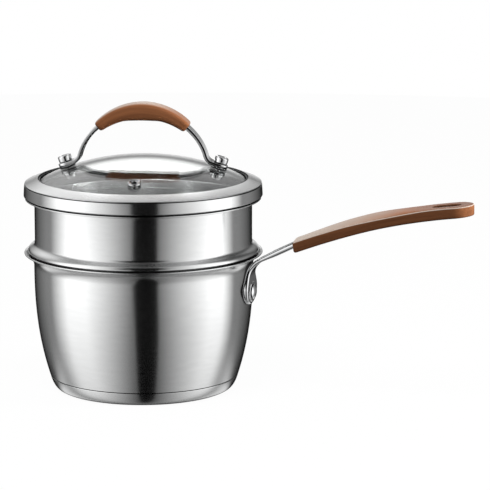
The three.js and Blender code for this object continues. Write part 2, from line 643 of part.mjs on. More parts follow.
// Long grip: crowned section along its curve, trimmed to its outline seen from above, slotted and bored
const gripHalf = GRIP_WIDTH / 2;
const creaseHeight = GRIP_CREASE_ABOVE_BAR;
const bellyHeight = creaseHeight - GRIP_SIDE_HEIGHT;
const gripSection = new THREE.Shape();
gripSection.moveTo(gripHalf, creaseHeight);
gripSection.quadraticCurveTo(0, creaseHeight + 2 * GRIP_CROWN, -gripHalf, creaseHeight);
gripSection.lineTo(-gripHalf, bellyHeight);
gripSection.quadraticCurveTo(0, bellyHeight - 2 * GRIP_BELLY, gripHalf, bellyHeight);
const planShape = new THREE.Shape();
planShape.moveTo(gripFrom.x - GRIP_WIDTH, -GRIP_NECK_WIDTH / 2);
planShape.lineTo(gripFrom.x, -GRIP_NECK_WIDTH / 2);
planShape.lineTo(gripPull.x, -gripHalf);
planShape.absarc(gripTo.x - gripHalf, 0, gripHalf, -Math.PI / 2, Math.PI / 2, false);
planShape.lineTo(gripPull.x, gripHalf);
planShape.lineTo(gripFrom.x, GRIP_NECK_WIDTH / 2);
planShape.lineTo(gripFrom.x - GRIP_WIDTH, GRIP_NECK_WIDTH / 2);
const slotEnd = gripTo.x - SLOT_END_LAND - SLOT_WIDTH / 2;
const slotStart = slotEnd - SLOT_LENGTH + SLOT_WIDTH;
const slotShape = new THREE.Shape();
slotShape.absarc(slotEnd, 0, SLOT_WIDTH / 2, -Math.PI / 2, Math.PI / 2, false);
slotShape.absarc(slotStart, 0, SLOT_WIDTH / 2, Math.PI / 2, Math.PI * 1.5, false);
const upright = (shape) => weld(new THREE.ExtrudeGeometry(shape, {
  depth: 2 * gripTo.z,
  bevelEnabled: false,
  curveSegments: SMALL_SEGMENTS / 2,
}));
const shoulder = bellyHeight - GRIP_BELLY + GRIP_SCREW_SHOULDER;
const screwRecess = roundBar(GRIP_SCREW_HEAD_RADIUS + FIT, -GRIP_WIDTH, shoulder).applyMatrix4(screwStand.matrix);
const tangChannel = sweep(
  barOutline(BAR_WIDTH + 2 * FIT, BAR_THICKNESS + 2 * FIT, BAR_CHAMFER),
  bracketPath(TANG_LENGTH + TANG_END_ROOM),
  BRACKET_STEPS,
);
const handleGrip = surface(
  solid(sweep(gripSection, gripPath, GRIP_STEPS))
    .intersect(solid(upright(planShape)))
    .subtract(solid(upright(slotShape)))
    .subtract(solid(tangChannel))
    .subtract(solid(screwRecess))
    .subtract(solid(screwBore)),
);
const handleScrew = revolve([
  at(0, shoulder - FIT - GRIP_SCREW_HEAD_HEIGHT),
  at(GRIP_SCREW_HEAD_RADIUS - FIT, shoulder - FIT - GRIP_SCREW_HEAD_HEIGHT),
  at(GRIP_SCREW_HEAD_RADIUS, shoulder - 2 * FIT - GRIP_SCREW_HEAD_HEIGHT / 2),
  at(GRIP_SCREW_HEAD_RADIUS, shoulder - FIT),
  at(GRIP_SCREW_RADIUS, shoulder - FIT),
  at(GRIP_SCREW_RADIUS, BAR_THICKNESS / 2),
  at(0, BAR_THICKNESS / 2),
], SMALL_SEGMENTS);

// Assembly
const milkPan = new THREE.Group();
screwStand.add(piece('handle_screw', handleScrew, 'polishedSteel'));
milkPan.add(
  piece('pan_body', panBody, 'brushedSteel'),
  piece('base_core', baseCore, 'aluminium'),
  piece('base_cap', baseCap, 'brushedSteel'),
  piece('handle_bracket', handleBracket, 'polishedSteel'),
  piece('handle_rivet', handleRivet, 'polishedSteel'),
  piece('handle_grip', handleGrip, 'brownGrip'),
  screwStand,
  piece('steamer_basket', steamerBasket, 'brushedSteel'),
);
const lid = new THREE.Group();
lid.rotation.z = LID_TURN;
ventStand.add(piece('vent_eyelet', ventEyelet, 'polishedSteel'));
lid.add(
  piece('lid_rim', lidRim, 'brushedSteel'),
  piece('rim_seal', rimSeal, 'silicone'),
  piece('lid_glass', lidGlass, 'glass'),
  piece('lid_handle_strap', lidStrap, 'polishedSteel'),
  piece('lid_handle_grip', lidGrip, 'brownGrip'),
  ventStand,
);
for (const [side, stand] of studStands) {
  stand.add(
    piece(`${side}_cap_nut`, capNut, 'polishedSteel'),
    piece(`${side}_upper_gasket`, upperGasket, 'silicone'),
    piece(`${side}_lower_gasket`, lowerGasket, 'silicone'),
    piece(`${side}_stud_washer`, studWasher, 'polishedSteel'),
    piece(`${side}_stud_screw`, studScrew, 'polishedSteel'),
  );
  lid.add(stand);
}
milkPan.add(lid);

export default milkPan;
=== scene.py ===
"""Looks of the milk pan with steamer: fine surfaces, finishes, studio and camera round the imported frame.

Sizes are in millimetres and become metres where a mesh is made. The origin is the centre of the pan's
flat underside, +X runs along the long handle and +Z is up.
"""

import logging
import math
from dataclasses import dataclass
from enum import Enum

import bmesh
import bpy
import numpy as np
from mathutils import Matrix, Vector


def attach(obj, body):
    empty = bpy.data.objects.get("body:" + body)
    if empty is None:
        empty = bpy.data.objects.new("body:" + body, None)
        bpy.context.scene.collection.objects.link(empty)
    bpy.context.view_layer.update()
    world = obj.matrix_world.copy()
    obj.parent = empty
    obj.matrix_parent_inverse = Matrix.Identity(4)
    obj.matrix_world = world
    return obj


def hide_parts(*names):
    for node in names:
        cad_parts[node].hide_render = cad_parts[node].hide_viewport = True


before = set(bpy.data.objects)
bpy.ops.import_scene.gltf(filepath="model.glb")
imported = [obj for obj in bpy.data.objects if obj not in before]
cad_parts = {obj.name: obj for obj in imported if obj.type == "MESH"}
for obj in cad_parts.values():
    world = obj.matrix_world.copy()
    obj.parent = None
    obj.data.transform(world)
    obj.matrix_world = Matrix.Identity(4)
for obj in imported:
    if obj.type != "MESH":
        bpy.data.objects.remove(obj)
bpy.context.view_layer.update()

Array = np.ndarray
Corners = list[tuple[float, float, float]] | np.ndarray
Socket = bpy.types.NodeSocket
LOG = logging.getLogger("milk_pan")
MM = 0.001
WELD = 0.002
FIT = 0.3
ROUND = 192
SMALL_ROUND = 48
HOLE_ROUND = 28
RIVET_ROUND = 72
LIP = 7
TINY = 1e-9
SAME = 1e-5
SIDE_SHARE = 0.49


class Slot(Enum):
    """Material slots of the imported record, each with one finish."""

    BRUSHED = "brushed_steel"
    CORE = "aluminium_core"
    POLISHED = "polished_steel"
    GRIP = "brown_grip"
    GLASS = "clear_glass"
    SILICONE = "grey_silicone"

    @property
    def finish(self) -> str:
        """Name of the slot's finished material."""
        return f"{self.value}_finish"


class Body(Enum):
    """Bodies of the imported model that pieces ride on."""

    PAN = "pan"
    STEAMER = "steamer"
    LID = "lid"


# Surfaces


@dataclass
class Shell:
    """A patch of quads: points in millimetres, and faces as rows of four point numbers."""

    points: Array
    faces: Array

    @classmethod
    def grid(cls, points: Array, close_rows: bool = False, close_columns: bool = False) -> "Shell":
        """Joins each point of a grid to its neighbours in the next row and column.

        Args:
            points: rows by columns by three coordinates.
            close_rows: whether the last row joins the first.
            close_columns: whether the last column joins the first.

        Returns:
            The patch of quads.
        """
        rows, columns = points.shape[:2]
        row, column = np.meshgrid(
            np.arange(rows if close_rows else rows - 1),
            np.arange(columns if close_columns else columns - 1),
            indexing="ij",
        )
        next_row, next_column = (row + 1) % rows, (column + 1) % columns
        corners = ((row, column), (row, next_column), (next_row, next_column), (next_row, column))
        faces = np.stack([(r * columns + c).ravel() for r, c in corners], axis=1)
        return cls(points.reshape(-1, 3), faces)

    @classmethod
    def join(cls, shells: list["Shell"]) -> "Shell":
        """Puts several patches into one list of points and faces."""
        starts = np.cumsum([0] + [len(shell.points) for shell in shells[:-1]])
        faces = [shell.faces + start for shell, start in zip(shells, starts)]
        return cls(np.vstack([shell.points for shell in shells]), np.vstack(faces))

    def placed(self, matrix: Matrix) -> "Shell":
        """The same patch moved by a matrix whose shift is in millimetres."""
        full = np.array(matrix)
        return Shell(self.points @ full[:3, :3].T + full[:3, 3], self.faces)


def unit(vectors: Array) -> Array:
    """Vectors brought to length one, with a zero vector left as it is."""
    length = np.linalg.norm(vectors, axis=-1, keepdims=True)
    return vectors / np.maximum(length, TINY)


def ease(values: Array, start: float, end: float) -> Array:
    """A smooth rise from 0 at start to 1 at end: 3t squared less 2t cubed."""
    share = np.clip((np.asarray(values, float) - start) / (end - start), 0, 1)
    return share * share * (3 - 2 * share)


def bezier(*pulls: tuple[float, float] | Array, steps: int = 24) -> Array:
    """Points of a Bezier curve: each blends the pulls by the binomial weights of its share of the way."""
    share = np.linspace(0, 1, steps)[:, None]
    order = len(pulls) - 1
    weights = [math.comb(order, i) * share**i * (1 - share) ** (order - i) for i in range(order + 1)]
    return sum(weight * np.asarray(pull, float) for weight, pull in zip(weights, pulls))


def sharp(points: Array) -> Array:
    """Outline points with no rounding, as rows of x, y and radius 0."""
    return np.column_stack([points, np.zeros(len(points))])


def rounded(corners: Corners, closed: bool = True, steps: int = 9) -> Array:
    """Replaces each corner of an outline by an arc of its radius that touches both sides.

    The arc's centre lies on the corner's bisector, and its points turn evenly from one side's touching
    point to the other's.

    Args:
        corners: rows of x, y and radius.
        closed: whether the outline runs back to its start.
        steps: points in each arc.

    Returns:
        The rounded outline as rows of x and y.
    """
    corners = np.asarray(corners, float)
    place, radius = corners[:, :2], corners[:, 2]
    back, ahead = np.roll(place, 1, axis=0) - place, np.roll(place, -1, axis=0) - place
    room = SIDE_SHARE * np.minimum(np.linalg.norm(back, axis=1), np.linalg.norm(ahead, axis=1))
    back, ahead = unit(back), unit(ahead)
    half = np.arccos(np.clip((back * ahead).sum(1), -1, 1)) / 2
    cut = np.minimum(radius / np.maximum(np.tan(half), TINY), room)
    if not closed:
        cut[[0, -1]] = 0
    centre = place + unit(back + ahead) * (cut / np.maximum(np.cos(half), TINY))[:, None]
    start, end = place + back * cut[:, None] - centre, place + ahead * cut[:, None] - centre
    turn = (np.pi - 2 * half)[:, None]
    share = np.linspace(0, 1, steps)[None, :]
    whole = np.maximum(np.sin(turn), TINY)
    first, second = np.sin((1 - share) * turn) / whole, np.sin(share * turn) / whole
    arcs = centre[:, None] + first[..., None] * start[:, None] + second[..., None] * end[:, None]
    outline = np.where(cut[:, None, None] > TINY, arcs, place[:, None]).reshape(-1, 2)
    gap = np.linalg.norm(np.diff(outline, axis=0, append=outline[:1]), axis=1)
    keep = gap > SAME
    keep[-1] = keep[-1] or not closed
    return outline[keep]


def revolve(outline: Array, closed: bool = True, segments: int = ROUND) -> Shell:
    """Turns an outline of radius and height about +Z: x = r cos a, y = r sin a, z = h.

    Args:
        outline: rows of radius and height.
        closed: whether the outline is a loop; an open one starts and ends on the axis.
        segments: steps round the axis.

    Returns:
        The turned surface.
    """
    angle = np.linspace(0, 2 * np.pi, segments, endpoint=False)
    radius, height = outline[:, :1], outline[:, 1:]
    grid = np.stack([radius * np.cos(angle), radius * np.sin(angle), height + 0 * angle], axis=-1)
    return Shell.grid(grid, close_rows=closed, close_columns=True)


def disc_outline(radius: float, bore: float, low: float, high: float, edge: float) -> Array:
    """Outline of a flat ring with softened edges."""
    corners = [(bore, low, edge), (radius, low, edge), (radius, high, edge), (bore, high, edge)]
    return rounded(corners)


@dataclass
class Rail:
    """A line in the upright XZ plane, read by the length along it."""

    line: Array

    def __post_init__(self) -> None:
        """Measures the line, and takes its direction as the slope of place over length."""
        steps = np.linalg.norm(np.diff(self.line, axis=0), axis=1)
        self.marks = np.concatenate([[0], np.cumsum(steps)])
        self.length = float(self.marks[-1])
        self.along = unit(np.gradient(self.line, self.marks, axis=0))

    def read(self, table: Array, at: Array) -> Array:
        """Values of a table kept at the line's points, at other lengths."""
        return np.stack([np.interp(at, self.marks, table[:, i]) for i in range(2)], axis=-1)

    def place(self, at: Array, side: Array, out: Array) -> Array:
        """Points beside the line: along it by a length, sideways along Y, and out along its left normal.

        Args:
            at: lengths along the line; past an end they run straight on.
            side: sideways distances.
            out: distances along the normal, which is the direction turned a quarter to the left.

        Returns:
            The points, with three coordinates each.
        """
        at, side, out = np.broadcast_arrays(at, side, out)
        held = np.clip(at, 0, self.length)
        centre, along = self.read(self.line, held), unit(self.read(self.along, held))
        flat = centre + along * (at - held)[..., None]
        x = flat[..., 0] - along[..., 1] * out
        z = flat[..., 1] + along[..., 0] * out
        return np.stack([x, side, z], axis=-1)


def slab_loop(half: Array, thickness: Array, edge: Array, flats: int = 13) -> tuple[Array, Array]:
    """Loop of a flat bar's section: two flat faces joined by rounded edges.

    Args:
        half: half width in each row.
        thickness: thickness in each row.
        edge: radius of the edges in each row.
        flats: points across a face.

    Returns:
        Sideways reach and outward distance, as rows by points of the loop.
    """
    quarter = np.linspace(0, np.pi / 2, LIP)
    across = np.linspace(1, -1, flats)
    edge = edge[:, None]
    inner, top = half[:, None] - edge, thickness[:, None] / 2
    sine, cosine = edge * np.sin(quarter), edge * np.cos(quarter)
    flat, swell, flank = across * inner, inner + sine, inner + cosine
    face, near, far = top + 0 * across, top - edge + cosine, top - edge + sine
    reach = [flat, -swell, -flank, -flat, swell, flank]
    out = [face, near, -far, -face, -near, far]
    return np.hstack(reach), np.hstack(out)


def capped(points: Array) -> Shell:
    """A tube of closed rows with its two end rows drawn together to their middles."""
    ends = [np.broadcast_to(row.mean(0), row.shape) for row in (points[0], points[-1])]
    return Shell.grid(np.concatenate([ends[:1], points, ends[1:]]), close_columns=True)


# Pieces


def raw_mesh(name: str, shell: Shell) -> bpy.types.Mesh:
    """A mesh of a shell, in metres."""
    mesh = bpy.data.meshes.new(name)
    mesh.from_pydata((shell.points * MM).tolist(), [], shell.faces.tolist())
    return mesh


def weld(mesh: bpy.types.Mesh) -> None:
    """Joins a mesh's coinciding points, drops faces without area and turns its normals outwards."""
    work = bmesh.new()
    work.from_mesh(mesh)
    bmesh.ops.remove_doubles(work, verts=work.verts, dist=WELD * MM)
    bmesh.ops.dissolve_degenerate(work, edges=work.edges, dist=WELD * MM)
    bmesh.ops.recalc_face_normals(work, faces=work.faces)
    work.to_mesh(mesh)
    work.free()


def put(name: str, data: bpy.types.ID) -> bpy.types.Object:
    """An object in the scene that shows a mesh, camera or lamp."""
    item = bpy.data.objects.new(name, data)
    bpy.context.scene.collection.objects.link(item)
    return item


def make_piece(
    node: str,
    shells: list[Shell],
    slot: Slot,
    body: Body,
    smooth: float = 40.0,
    grain: Array | None = None,
    painted_light: Array | None = None,
) -> bpy.types.Object:
    """Makes a fine piece that stands for a CAD node.

    Args:
        node: the CAD node that the piece replaces.
        shells: closed patches, in millimetres.
        slot: material slot that gives the finish.
        body: body that the piece rides on.
        smooth: edges that turn by more degrees than this stay crisp.
        grain: for each point, its place along and across the piece, for a pattern that follows it.
        painted_light: for each point, how far painted highlight and sheen pale it, from 0 to 1, or below 0
            how far painted shade darkens it.

    Returns:
        The finished object.
    """
    mesh = raw_mesh(f"{node}_fine", Shell.join(shells))
    if grain is not None:
        layer = mesh.attributes.new("grain", "FLOAT_VECTOR", "POINT")
        layer.data.foreach_set("vector", (grain * MM).astype(np.float32).ravel())
    if painted_light is not None:
        layer = mesh.attributes.new("painted_light", "FLOAT", "POINT")
        layer.data.foreach_set("value", painted_light.astype(np.float32))
    weld(mesh)
    piece = put(f"{node}_fine", mesh)
    mesh.materials.append(bpy.data.materials[slot.finish])
    soften(mesh, smooth)
    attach(piece, body.value)
    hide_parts(node)
    LOG.info("%s: %d faces on %s", piece.name, len(mesh.polygons), body.value)
    return piece


def soften(mesh: bpy.types.Mesh, smooth: float) -> None:
    """Shades a mesh smooth, with edges past an angle in degrees kept crisp."""
    mesh.shade_smooth()
    mesh.set_sharp_from_angle(angle=math.radians(smooth))


def pierce(piece: bpy.types.Object, tools: list[Shell], smooth: float = 40.0) -> None:
    """Cuts closed shells out of a piece and leaves only the cut mesh.

    Args:
        piece: the piece to cut.
        tools: closed shells to take away, in millimetres.
        smooth: edges that turn by more degrees than this stay crisp.
    """
    mesh = raw_mesh("tool", Shell.join(tools))
    weld(mesh)
    tool = put("tool", mesh)
    cut = piece.modifiers.new("pierce", "BOOLEAN")
    cut.operation = "DIFFERENCE"
    cut.solver = "EXACT"
    cut.object = tool
    shown = piece.evaluated_get(bpy.context.evaluated_depsgraph_get())
    done = bpy.data.meshes.new_from_object(shown)
    piece.modifiers.clear()
    piece.data = done
    bpy.data.objects.remove(tool)
    soften(done, smooth)


# Finishes


class Bench:
    """Short ways to add and join nodes in one tree."""

    def __init__(self, tree: bpy.types.NodeTree) -> None:
        """Takes the tree that the nodes go into."""
        self.tree = tree

    def add(self, kind: str, *values: object, **settings: object) -> bpy.types.Node:
        """Adds a node, sets its named properties and feeds its inputs in their order."""
        node = self.tree.nodes.new(kind)
        for name, value in settings.items():
            setattr(node, name, value)
        for socket, value in zip(node.inputs, values):
            self.feed(socket, value)
        return node

    def feed(self, socket: Socket, value: object) -> None:
        """Joins a socket to another, or sets it to a plain value."""
        if isinstance(value, Socket):
            self.tree.links.new(value, socket)
        else:
            socket.default_value = value

    def fill(self, node: bpy.types.Node, **values: object) -> bpy.types.Node:
        """Feeds a node's named inputs, with an underscore for each space in a name."""
        for name, value in values.items():
            self.feed(node.inputs[name.replace("_", " ")], value)
        return node

    def math(self, operation: str, *values: object) -> Socket:
        """A Math node on sockets or numbers."""
        return self.add("ShaderNodeMath", *values, operation=operation).outputs[0]

    def plus(self, first: object, second: object) -> Socket:
        """The sum of two sockets or numbers."""
        return self.math("ADD", first, second)

    def times(self, first: object, second: object) -> Socket:
        """The product of two sockets or numbers."""
        return self.math("MULTIPLY", first, second)

    def span(self, value: Socket, start: float, end: float, low: object, high: object) -> Socket:
        """A clamped Map Range node from start and end to low and high."""
        return self.add("ShaderNodeMapRange", value, start, end, low, high, clamp=True).outputs[0]

    def vector(self, operation: str, *values: object) -> bpy.types.Node:
        """A Vector Math node on sockets or vectors."""
        return self.add("ShaderNodeVectorMath", *values, operation=operation)

    def noise(self, place: Socket, scale: object, detail: float, roughness: float = 0.55) -> Socket:
        """The grey value of a noise texture at a place."""
        node = self.add("ShaderNodeTexNoise")
        return self.fill(node, Vector=place, Scale=scale, Detail=detail, Roughness=roughness).outputs["Fac"]

    def mix(self, share: object, first: object, second: object) -> Socket:
        """A colour between two, by a share."""
        node = self.add("ShaderNodeMix", data_type="RGBA")
        for name, value in (("Factor_Float", share), ("A_Color", first), ("B_Color", second)):
            self.feed(next(s for s in node.inputs if s.identifier == name), value)
        return next(s for s in node.outputs if s.identifier == "Result_Color")

    def group(self, name: str, **values: object) -> bpy.types.Node:
        """Places a node group and feeds its named inputs."""
        return self.fill(self.add("ShaderNodeGroup", node_tree=bpy.data.node_groups[name]), **values)


def new_group(
    name: str, inputs: list[str], outputs: list[str]
) -> tuple[Bench, bpy.types.Node, bpy.types.Node]:
    """Starts a shader node group whose sockets are all plain values.

    Args:
        name: the group's name.
        inputs: names of its inputs.
        outputs: names of its outputs.

    Returns:
        A bench on its tree, its input node and its output node.
    """
    tree = bpy.data.node_groups.new(name, "ShaderNodeTree")
    for label, way in [(label, "INPUT") for label in inputs] + [(label, "OUTPUT") for label in outputs]:
        tree.interface.new_socket(label, in_out=way, socket_type="NodeSocketFloat")
    bench = Bench(tree)
    return bench, bench.add("NodeGroupInput"), bench.add("NodeGroupOutput")


def ring_brush_group(slant: float = 0.9, band: float = 0.12) -> None:
    """Fine brush lines round the axis: noise that is slow with the angle, and fast with radius and height.

    Args:
        slant: how fast the lines change with radius, against height.
        band: how many broad bands there are, against fine lines.
    """
    bench, given, made = new_group("ring_brush", ["Lines per metre", "Waves round"], ["Line", "Band"])
    place = bench.add("ShaderNodeTexCoord").outputs["Object"]
    flat = bench.vector("MULTIPLY", place, (1, 1, 0)).outputs[0]
    heading = bench.vector("NORMALIZE", flat).outputs[0]
    reach = bench.vector("LENGTH", flat).outputs["Value"]
    across = bench.plus(bench.times(reach, slant), bench.add("ShaderNodeSeparateXYZ", place).outputs["Z"])
    turn = bench.fill(bench.vector("SCALE", heading), Scale=given.outputs["Waves round"])
    for output, share in (("Line", 1.0), ("Band", band)):
        lines = bench.times(given.outputs["Lines per metre"], share)
        stack = bench.fill(bench.add("ShaderNodeCombineXYZ"), Z=bench.times(across, lines))
        spot = bench.vector("ADD", turn.outputs[0], stack.outputs[0]).outputs[0]
        bench.feed(made.inputs[output], bench.noise(spot, 1.0, 3.0, 0.6))


def smudge_group(finer: float = 6.0, share: float = 0.7, low: float = 0.42, high: float = 0.66) -> None:
    """Soft patches of handling: two sizes of noise, kept where they are high.

    Args:
        finer: how many times finer the second noise is.
        share: the wide noise's share of the two.
        low: noise at which a patch starts.
        high: noise at which a patch is full.
    """
    bench, given, made = new_group("smudge", ["Patches per metre"], ["Mask"])
    place = bench.add("ShaderNodeTexCoord").outputs["Object"]
    wide = bench.noise(place, given.outputs["Patches per metre"], 2.0)
    fine = bench.noise(place, bench.times(given.outputs["Patches per metre"], finer), 4.0)
    both = bench.plus(bench.times(wide, share), bench.times(fine, 1 - share))
    bench.feed(made.inputs["Mask"], bench.span(both, low, high, 0.0, 1.0))


def crevice_group(shut: float = 0.4, clear: float = 0.75) -> None:
    """Mask for painted shade in gaps: the share of a surface's near surroundings that is shut off.

    Args:
        shut: share of open surroundings at which the painted shade is full.
        clear: share at which it is none.
    """
    bench, given, made = new_group("crevice", ["Reach"], ["Mask"])
    near = bench.fill(bench.add("ShaderNodeAmbientOcclusion", samples=8), Distance=given.outputs["Reach"])
    bench.feed(made.inputs["Mask"], bench.span(near.outputs["AO"], shut, clear, 1.0, 0.0))


@dataclass(frozen=True)
class Finish:
    """What every finish has: a slot, a colour, a roughness and how much handling changes it."""

    slot: Slot
    color: tuple[float, float, float]
    roughness: float
    smudge: float
    patches: float = 22.0

    def start(self) -> tuple[Bench, bpy.types.Node]:
        """Makes the material and sets its plain colour.

        Returns:
            A bench on its tree, and its Principled BSDF.
        """
        material = bpy.data.materials.new(self.slot.finish)
        material.use_nodes = True
        shader = material.node_tree.nodes["Principled BSDF"]
        shader.inputs["Base Color"].default_value = (*self.color, 1)
        return Bench(material.node_tree), shader

    def shade(self, factor: float) -> tuple[float, float, float, float]:
        """The colour times a factor, as a socket takes it."""
        return (*(min(1.0, part * factor) for part in self.color), 1.0)

    def patchy(self, bench: Bench, finer: float = 1.0) -> Socket:
        """Mask of the smudges, or of finer patches like them."""
        return bench.group("smudge", Patches_per_metre=self.patches * finer).outputs["Mask"]

    def handled(self, bench: Bench, roughness: object) -> Socket:
        """Adds the smudges to a roughness."""
        return bench.plus(roughness, bench.times(self.patchy(bench), self.smudge))

    def bump(self, bench: Bench, height: Socket, strength: float, depth: float) -> Socket:
        """Normal of a surface with a height over it, in metres of depth."""
        node = bench.fill(bench.add("ShaderNodeBump"), Strength=strength, Distance=depth, Height=height)
        return node.outputs[0]


@dataclass(frozen=True)
class PolishedMetal(Finish):
    """Plain metal with a bright or rolled surface, faint draw lines round the axis and painted shade that
    darkens its gaps.
    """

    lines: float = 900.0
    waves: float = 9.0
    gap: float = 0.002
    spread: float = 0.2
    tint: float = 0.02
    gap_shade_tone: float = 0.03

    def lined(self) -> tuple[Bench, bpy.types.Node, bpy.types.Node]:
        """Makes the metal with its lines.

        Returns:
            A bench on its tree, its Principled BSDF and the node of the lines.
        """
        bench, shader = self.start()
        brush = bench.group("ring_brush", Lines_per_metre=self.lines, Waves_round=self.waves)
        tone = bench.span(brush.outputs["Band"], 0.5 - self.spread, 0.5 + self.spread, 0.0, 1.0)
        metal = bench.mix(tone, self.shade(1 - self.tint), self.shade(1 + self.tint))
        # Painted shade: the base colour darkens towards a dark tone where the crevice mask finds a gap or
        # groove.
        gap_shade_mask = bench.group("crevice", Reach=self.gap).outputs["Mask"]
        bench.fill(shader, Base_Color=bench.mix(gap_shade_mask, metal, self.shade(self.gap_shade_tone)), Metallic=1.0)
        return bench, shader, brush

    def build(self) -> None:
        """Makes the material."""
        bench, shader, _ = self.lined()
        bench.fill(shader, Roughness=self.handled(bench, self.roughness))


@dataclass(frozen=True)
class BrushedSteel(PolishedMetal):
    """Satin stainless steel, brushed round the axis: light spreads upwards and stays crisp sideways."""

    lines: float = 2600.0
    waves: float = 5.0
    gap: float = 0.003
    spread: float = 0.15
    tint: float = 0.015
    anisotropy: float = 0.9
    quarter: float = 0.25
    swing: float = 0.02
    brush_strength: float = 0.12
    brush_depth: float = 0.00001

    def build(self) -> None:
        """Makes the material."""
        bench, shader, brush = self.lined()
        line = brush.outputs["Line"]
        rough = bench.plus(bench.span(line, 0.3, 0.7, -self.swing, self.swing), self.roughness)
        bench.fill(
            shader,
            Roughness=self.handled(bench, rough),
            Anisotropic=self.anisotropy,
            Anisotropic_Rotation=self.quarter,
            Tangent=bench.add("ShaderNodeTangent", direction_type="RADIAL", axis="Z").outputs[0],
            Normal=self.bump(bench, line, self.brush_strength, self.brush_depth),
        )


@dataclass(frozen=True)
class MouldedGrip(Finish):
    """Wood-toned moulded grip with a fine grain along its length, painted highlight and painted shade from a
    per-point map, and a soft sheen.
    """

    dark: float = 0.7
    pale: float = 1.24
    along: float = 9.0
    across: float = 240.0
    streaks: float = 0.75
    tone_span: tuple[float, float] = (0.34, 0.66)
    grain_strength: float = 0.25
    grain_depth: float = 0.00004
    gloss_swing: float = 0.05
    specular: float = 0.15
    sheen: float = 0.1
    sheen_roughness: float = 0.2
    painted_shade_tone: float = 0.12
    painted_light_tone: tuple[float, float, float, float] = (0.7, 0.63, 0.556, 1.0)
    painted_light: float = 0.75

    def build(self) -> None:
        """Makes the material: noise drawn out along the piece, in two sizes, sets tone, gloss and relief."""
        bench, shader = self.start()
        path = bench.add("ShaderNodeAttribute", attribute_name="grain").outputs["Vector"]
        drawn = bench.vector("MULTIPLY", path, (self.along, self.across, self.across)).outputs[0]
        streak, fleck = bench.noise(drawn, 1.0, 4.0, 0.6), bench.noise(drawn, 5.0, 2.0)
        tone = bench.plus(bench.times(streak, self.streaks), bench.times(fleck, 1 - self.streaks))
        share = bench.span(tone, *self.tone_span, 0.0, 1.0)
        tint = bench.mix(share, self.shade(self.dark), self.shade(self.pale))
        # Painted light: above zero the per-point map mixes in a pale tone as a painted highlight and sheen,
        # below zero a dark tone as painted shade.
        edge = bench.add("ShaderNodeAttribute", attribute_name="painted_light").outputs["Fac"]
        tint = bench.mix(bench.times(edge, self.painted_light), tint, self.painted_light_tone)
        painted_shade = bench.span(edge, -1.0, 0.0, 1.0 - self.painted_shade_tone, 0.0)
        gloss = bench.plus(bench.times(share, self.gloss_swing), self.roughness)
        bench.fill(
            shader,
            Base_Color=bench.mix(painted_shade, tint, self.shade(self.painted_shade_tone)),
            Roughness=self.handled(bench, gloss),
            Specular_IOR_Level=self.specular,
            Sheen_Weight=self.sheen,
            Sheen_Roughness=self.sheen_roughness,
            Normal=self.bump(bench, tone, self.grain_strength, self.grain_depth),
        )


@dataclass(frozen=True)
class ClearGlass(Finish):
    """Clear toughened glass with a trace of handling."""

    bend: float = 1.5

    def build(self) -> None:
        """Makes the material."""
        bench, shader = self.start()
        rough = self.handled(bench, self.roughness)
        bench.fill(shader, Roughness=rough, Transmission_Weight=1.0, IOR=self.bend)


@dataclass(frozen=True)
class Silicone(Finish):
    """Matte rubber with a dusty tone."""

    dark: float = 0.85
    dusty: float = 1.2
    dust: float = 8.0

    def build(self) -> None:
        """Makes the material."""
        bench, shader = self.start()
        tone = bench.mix(self.patchy(bench, self.dust), self.shade(self.dark), self.shade(self.dusty))
        bench.fill(shader, Base_Color=tone, Roughness=self.handled(bench, self.roughness))


FINISHES = (
    BrushedSteel(Slot.BRUSHED, (0.71, 0.715, 0.715), 0.2, 0.006),
    PolishedMetal(Slot.POLISHED, (0.74, 0.745, 0.75), 0.04, 0.01),
    PolishedMetal(Slot.CORE, (0.66, 0.67, 0.68), 0.36, 0.06),
    MouldedGrip(Slot.GRIP, (0.305, 0.117, 0.049), 0.42, 0.04),
    ClearGlass(Slot.GLASS, (0.97, 0.985, 0.98), 0.012, 0.02),
    Silicone(Slot.SILICONE, (0.035, 0.036, 0.038), 0.55, 0.1),
)


# Pan


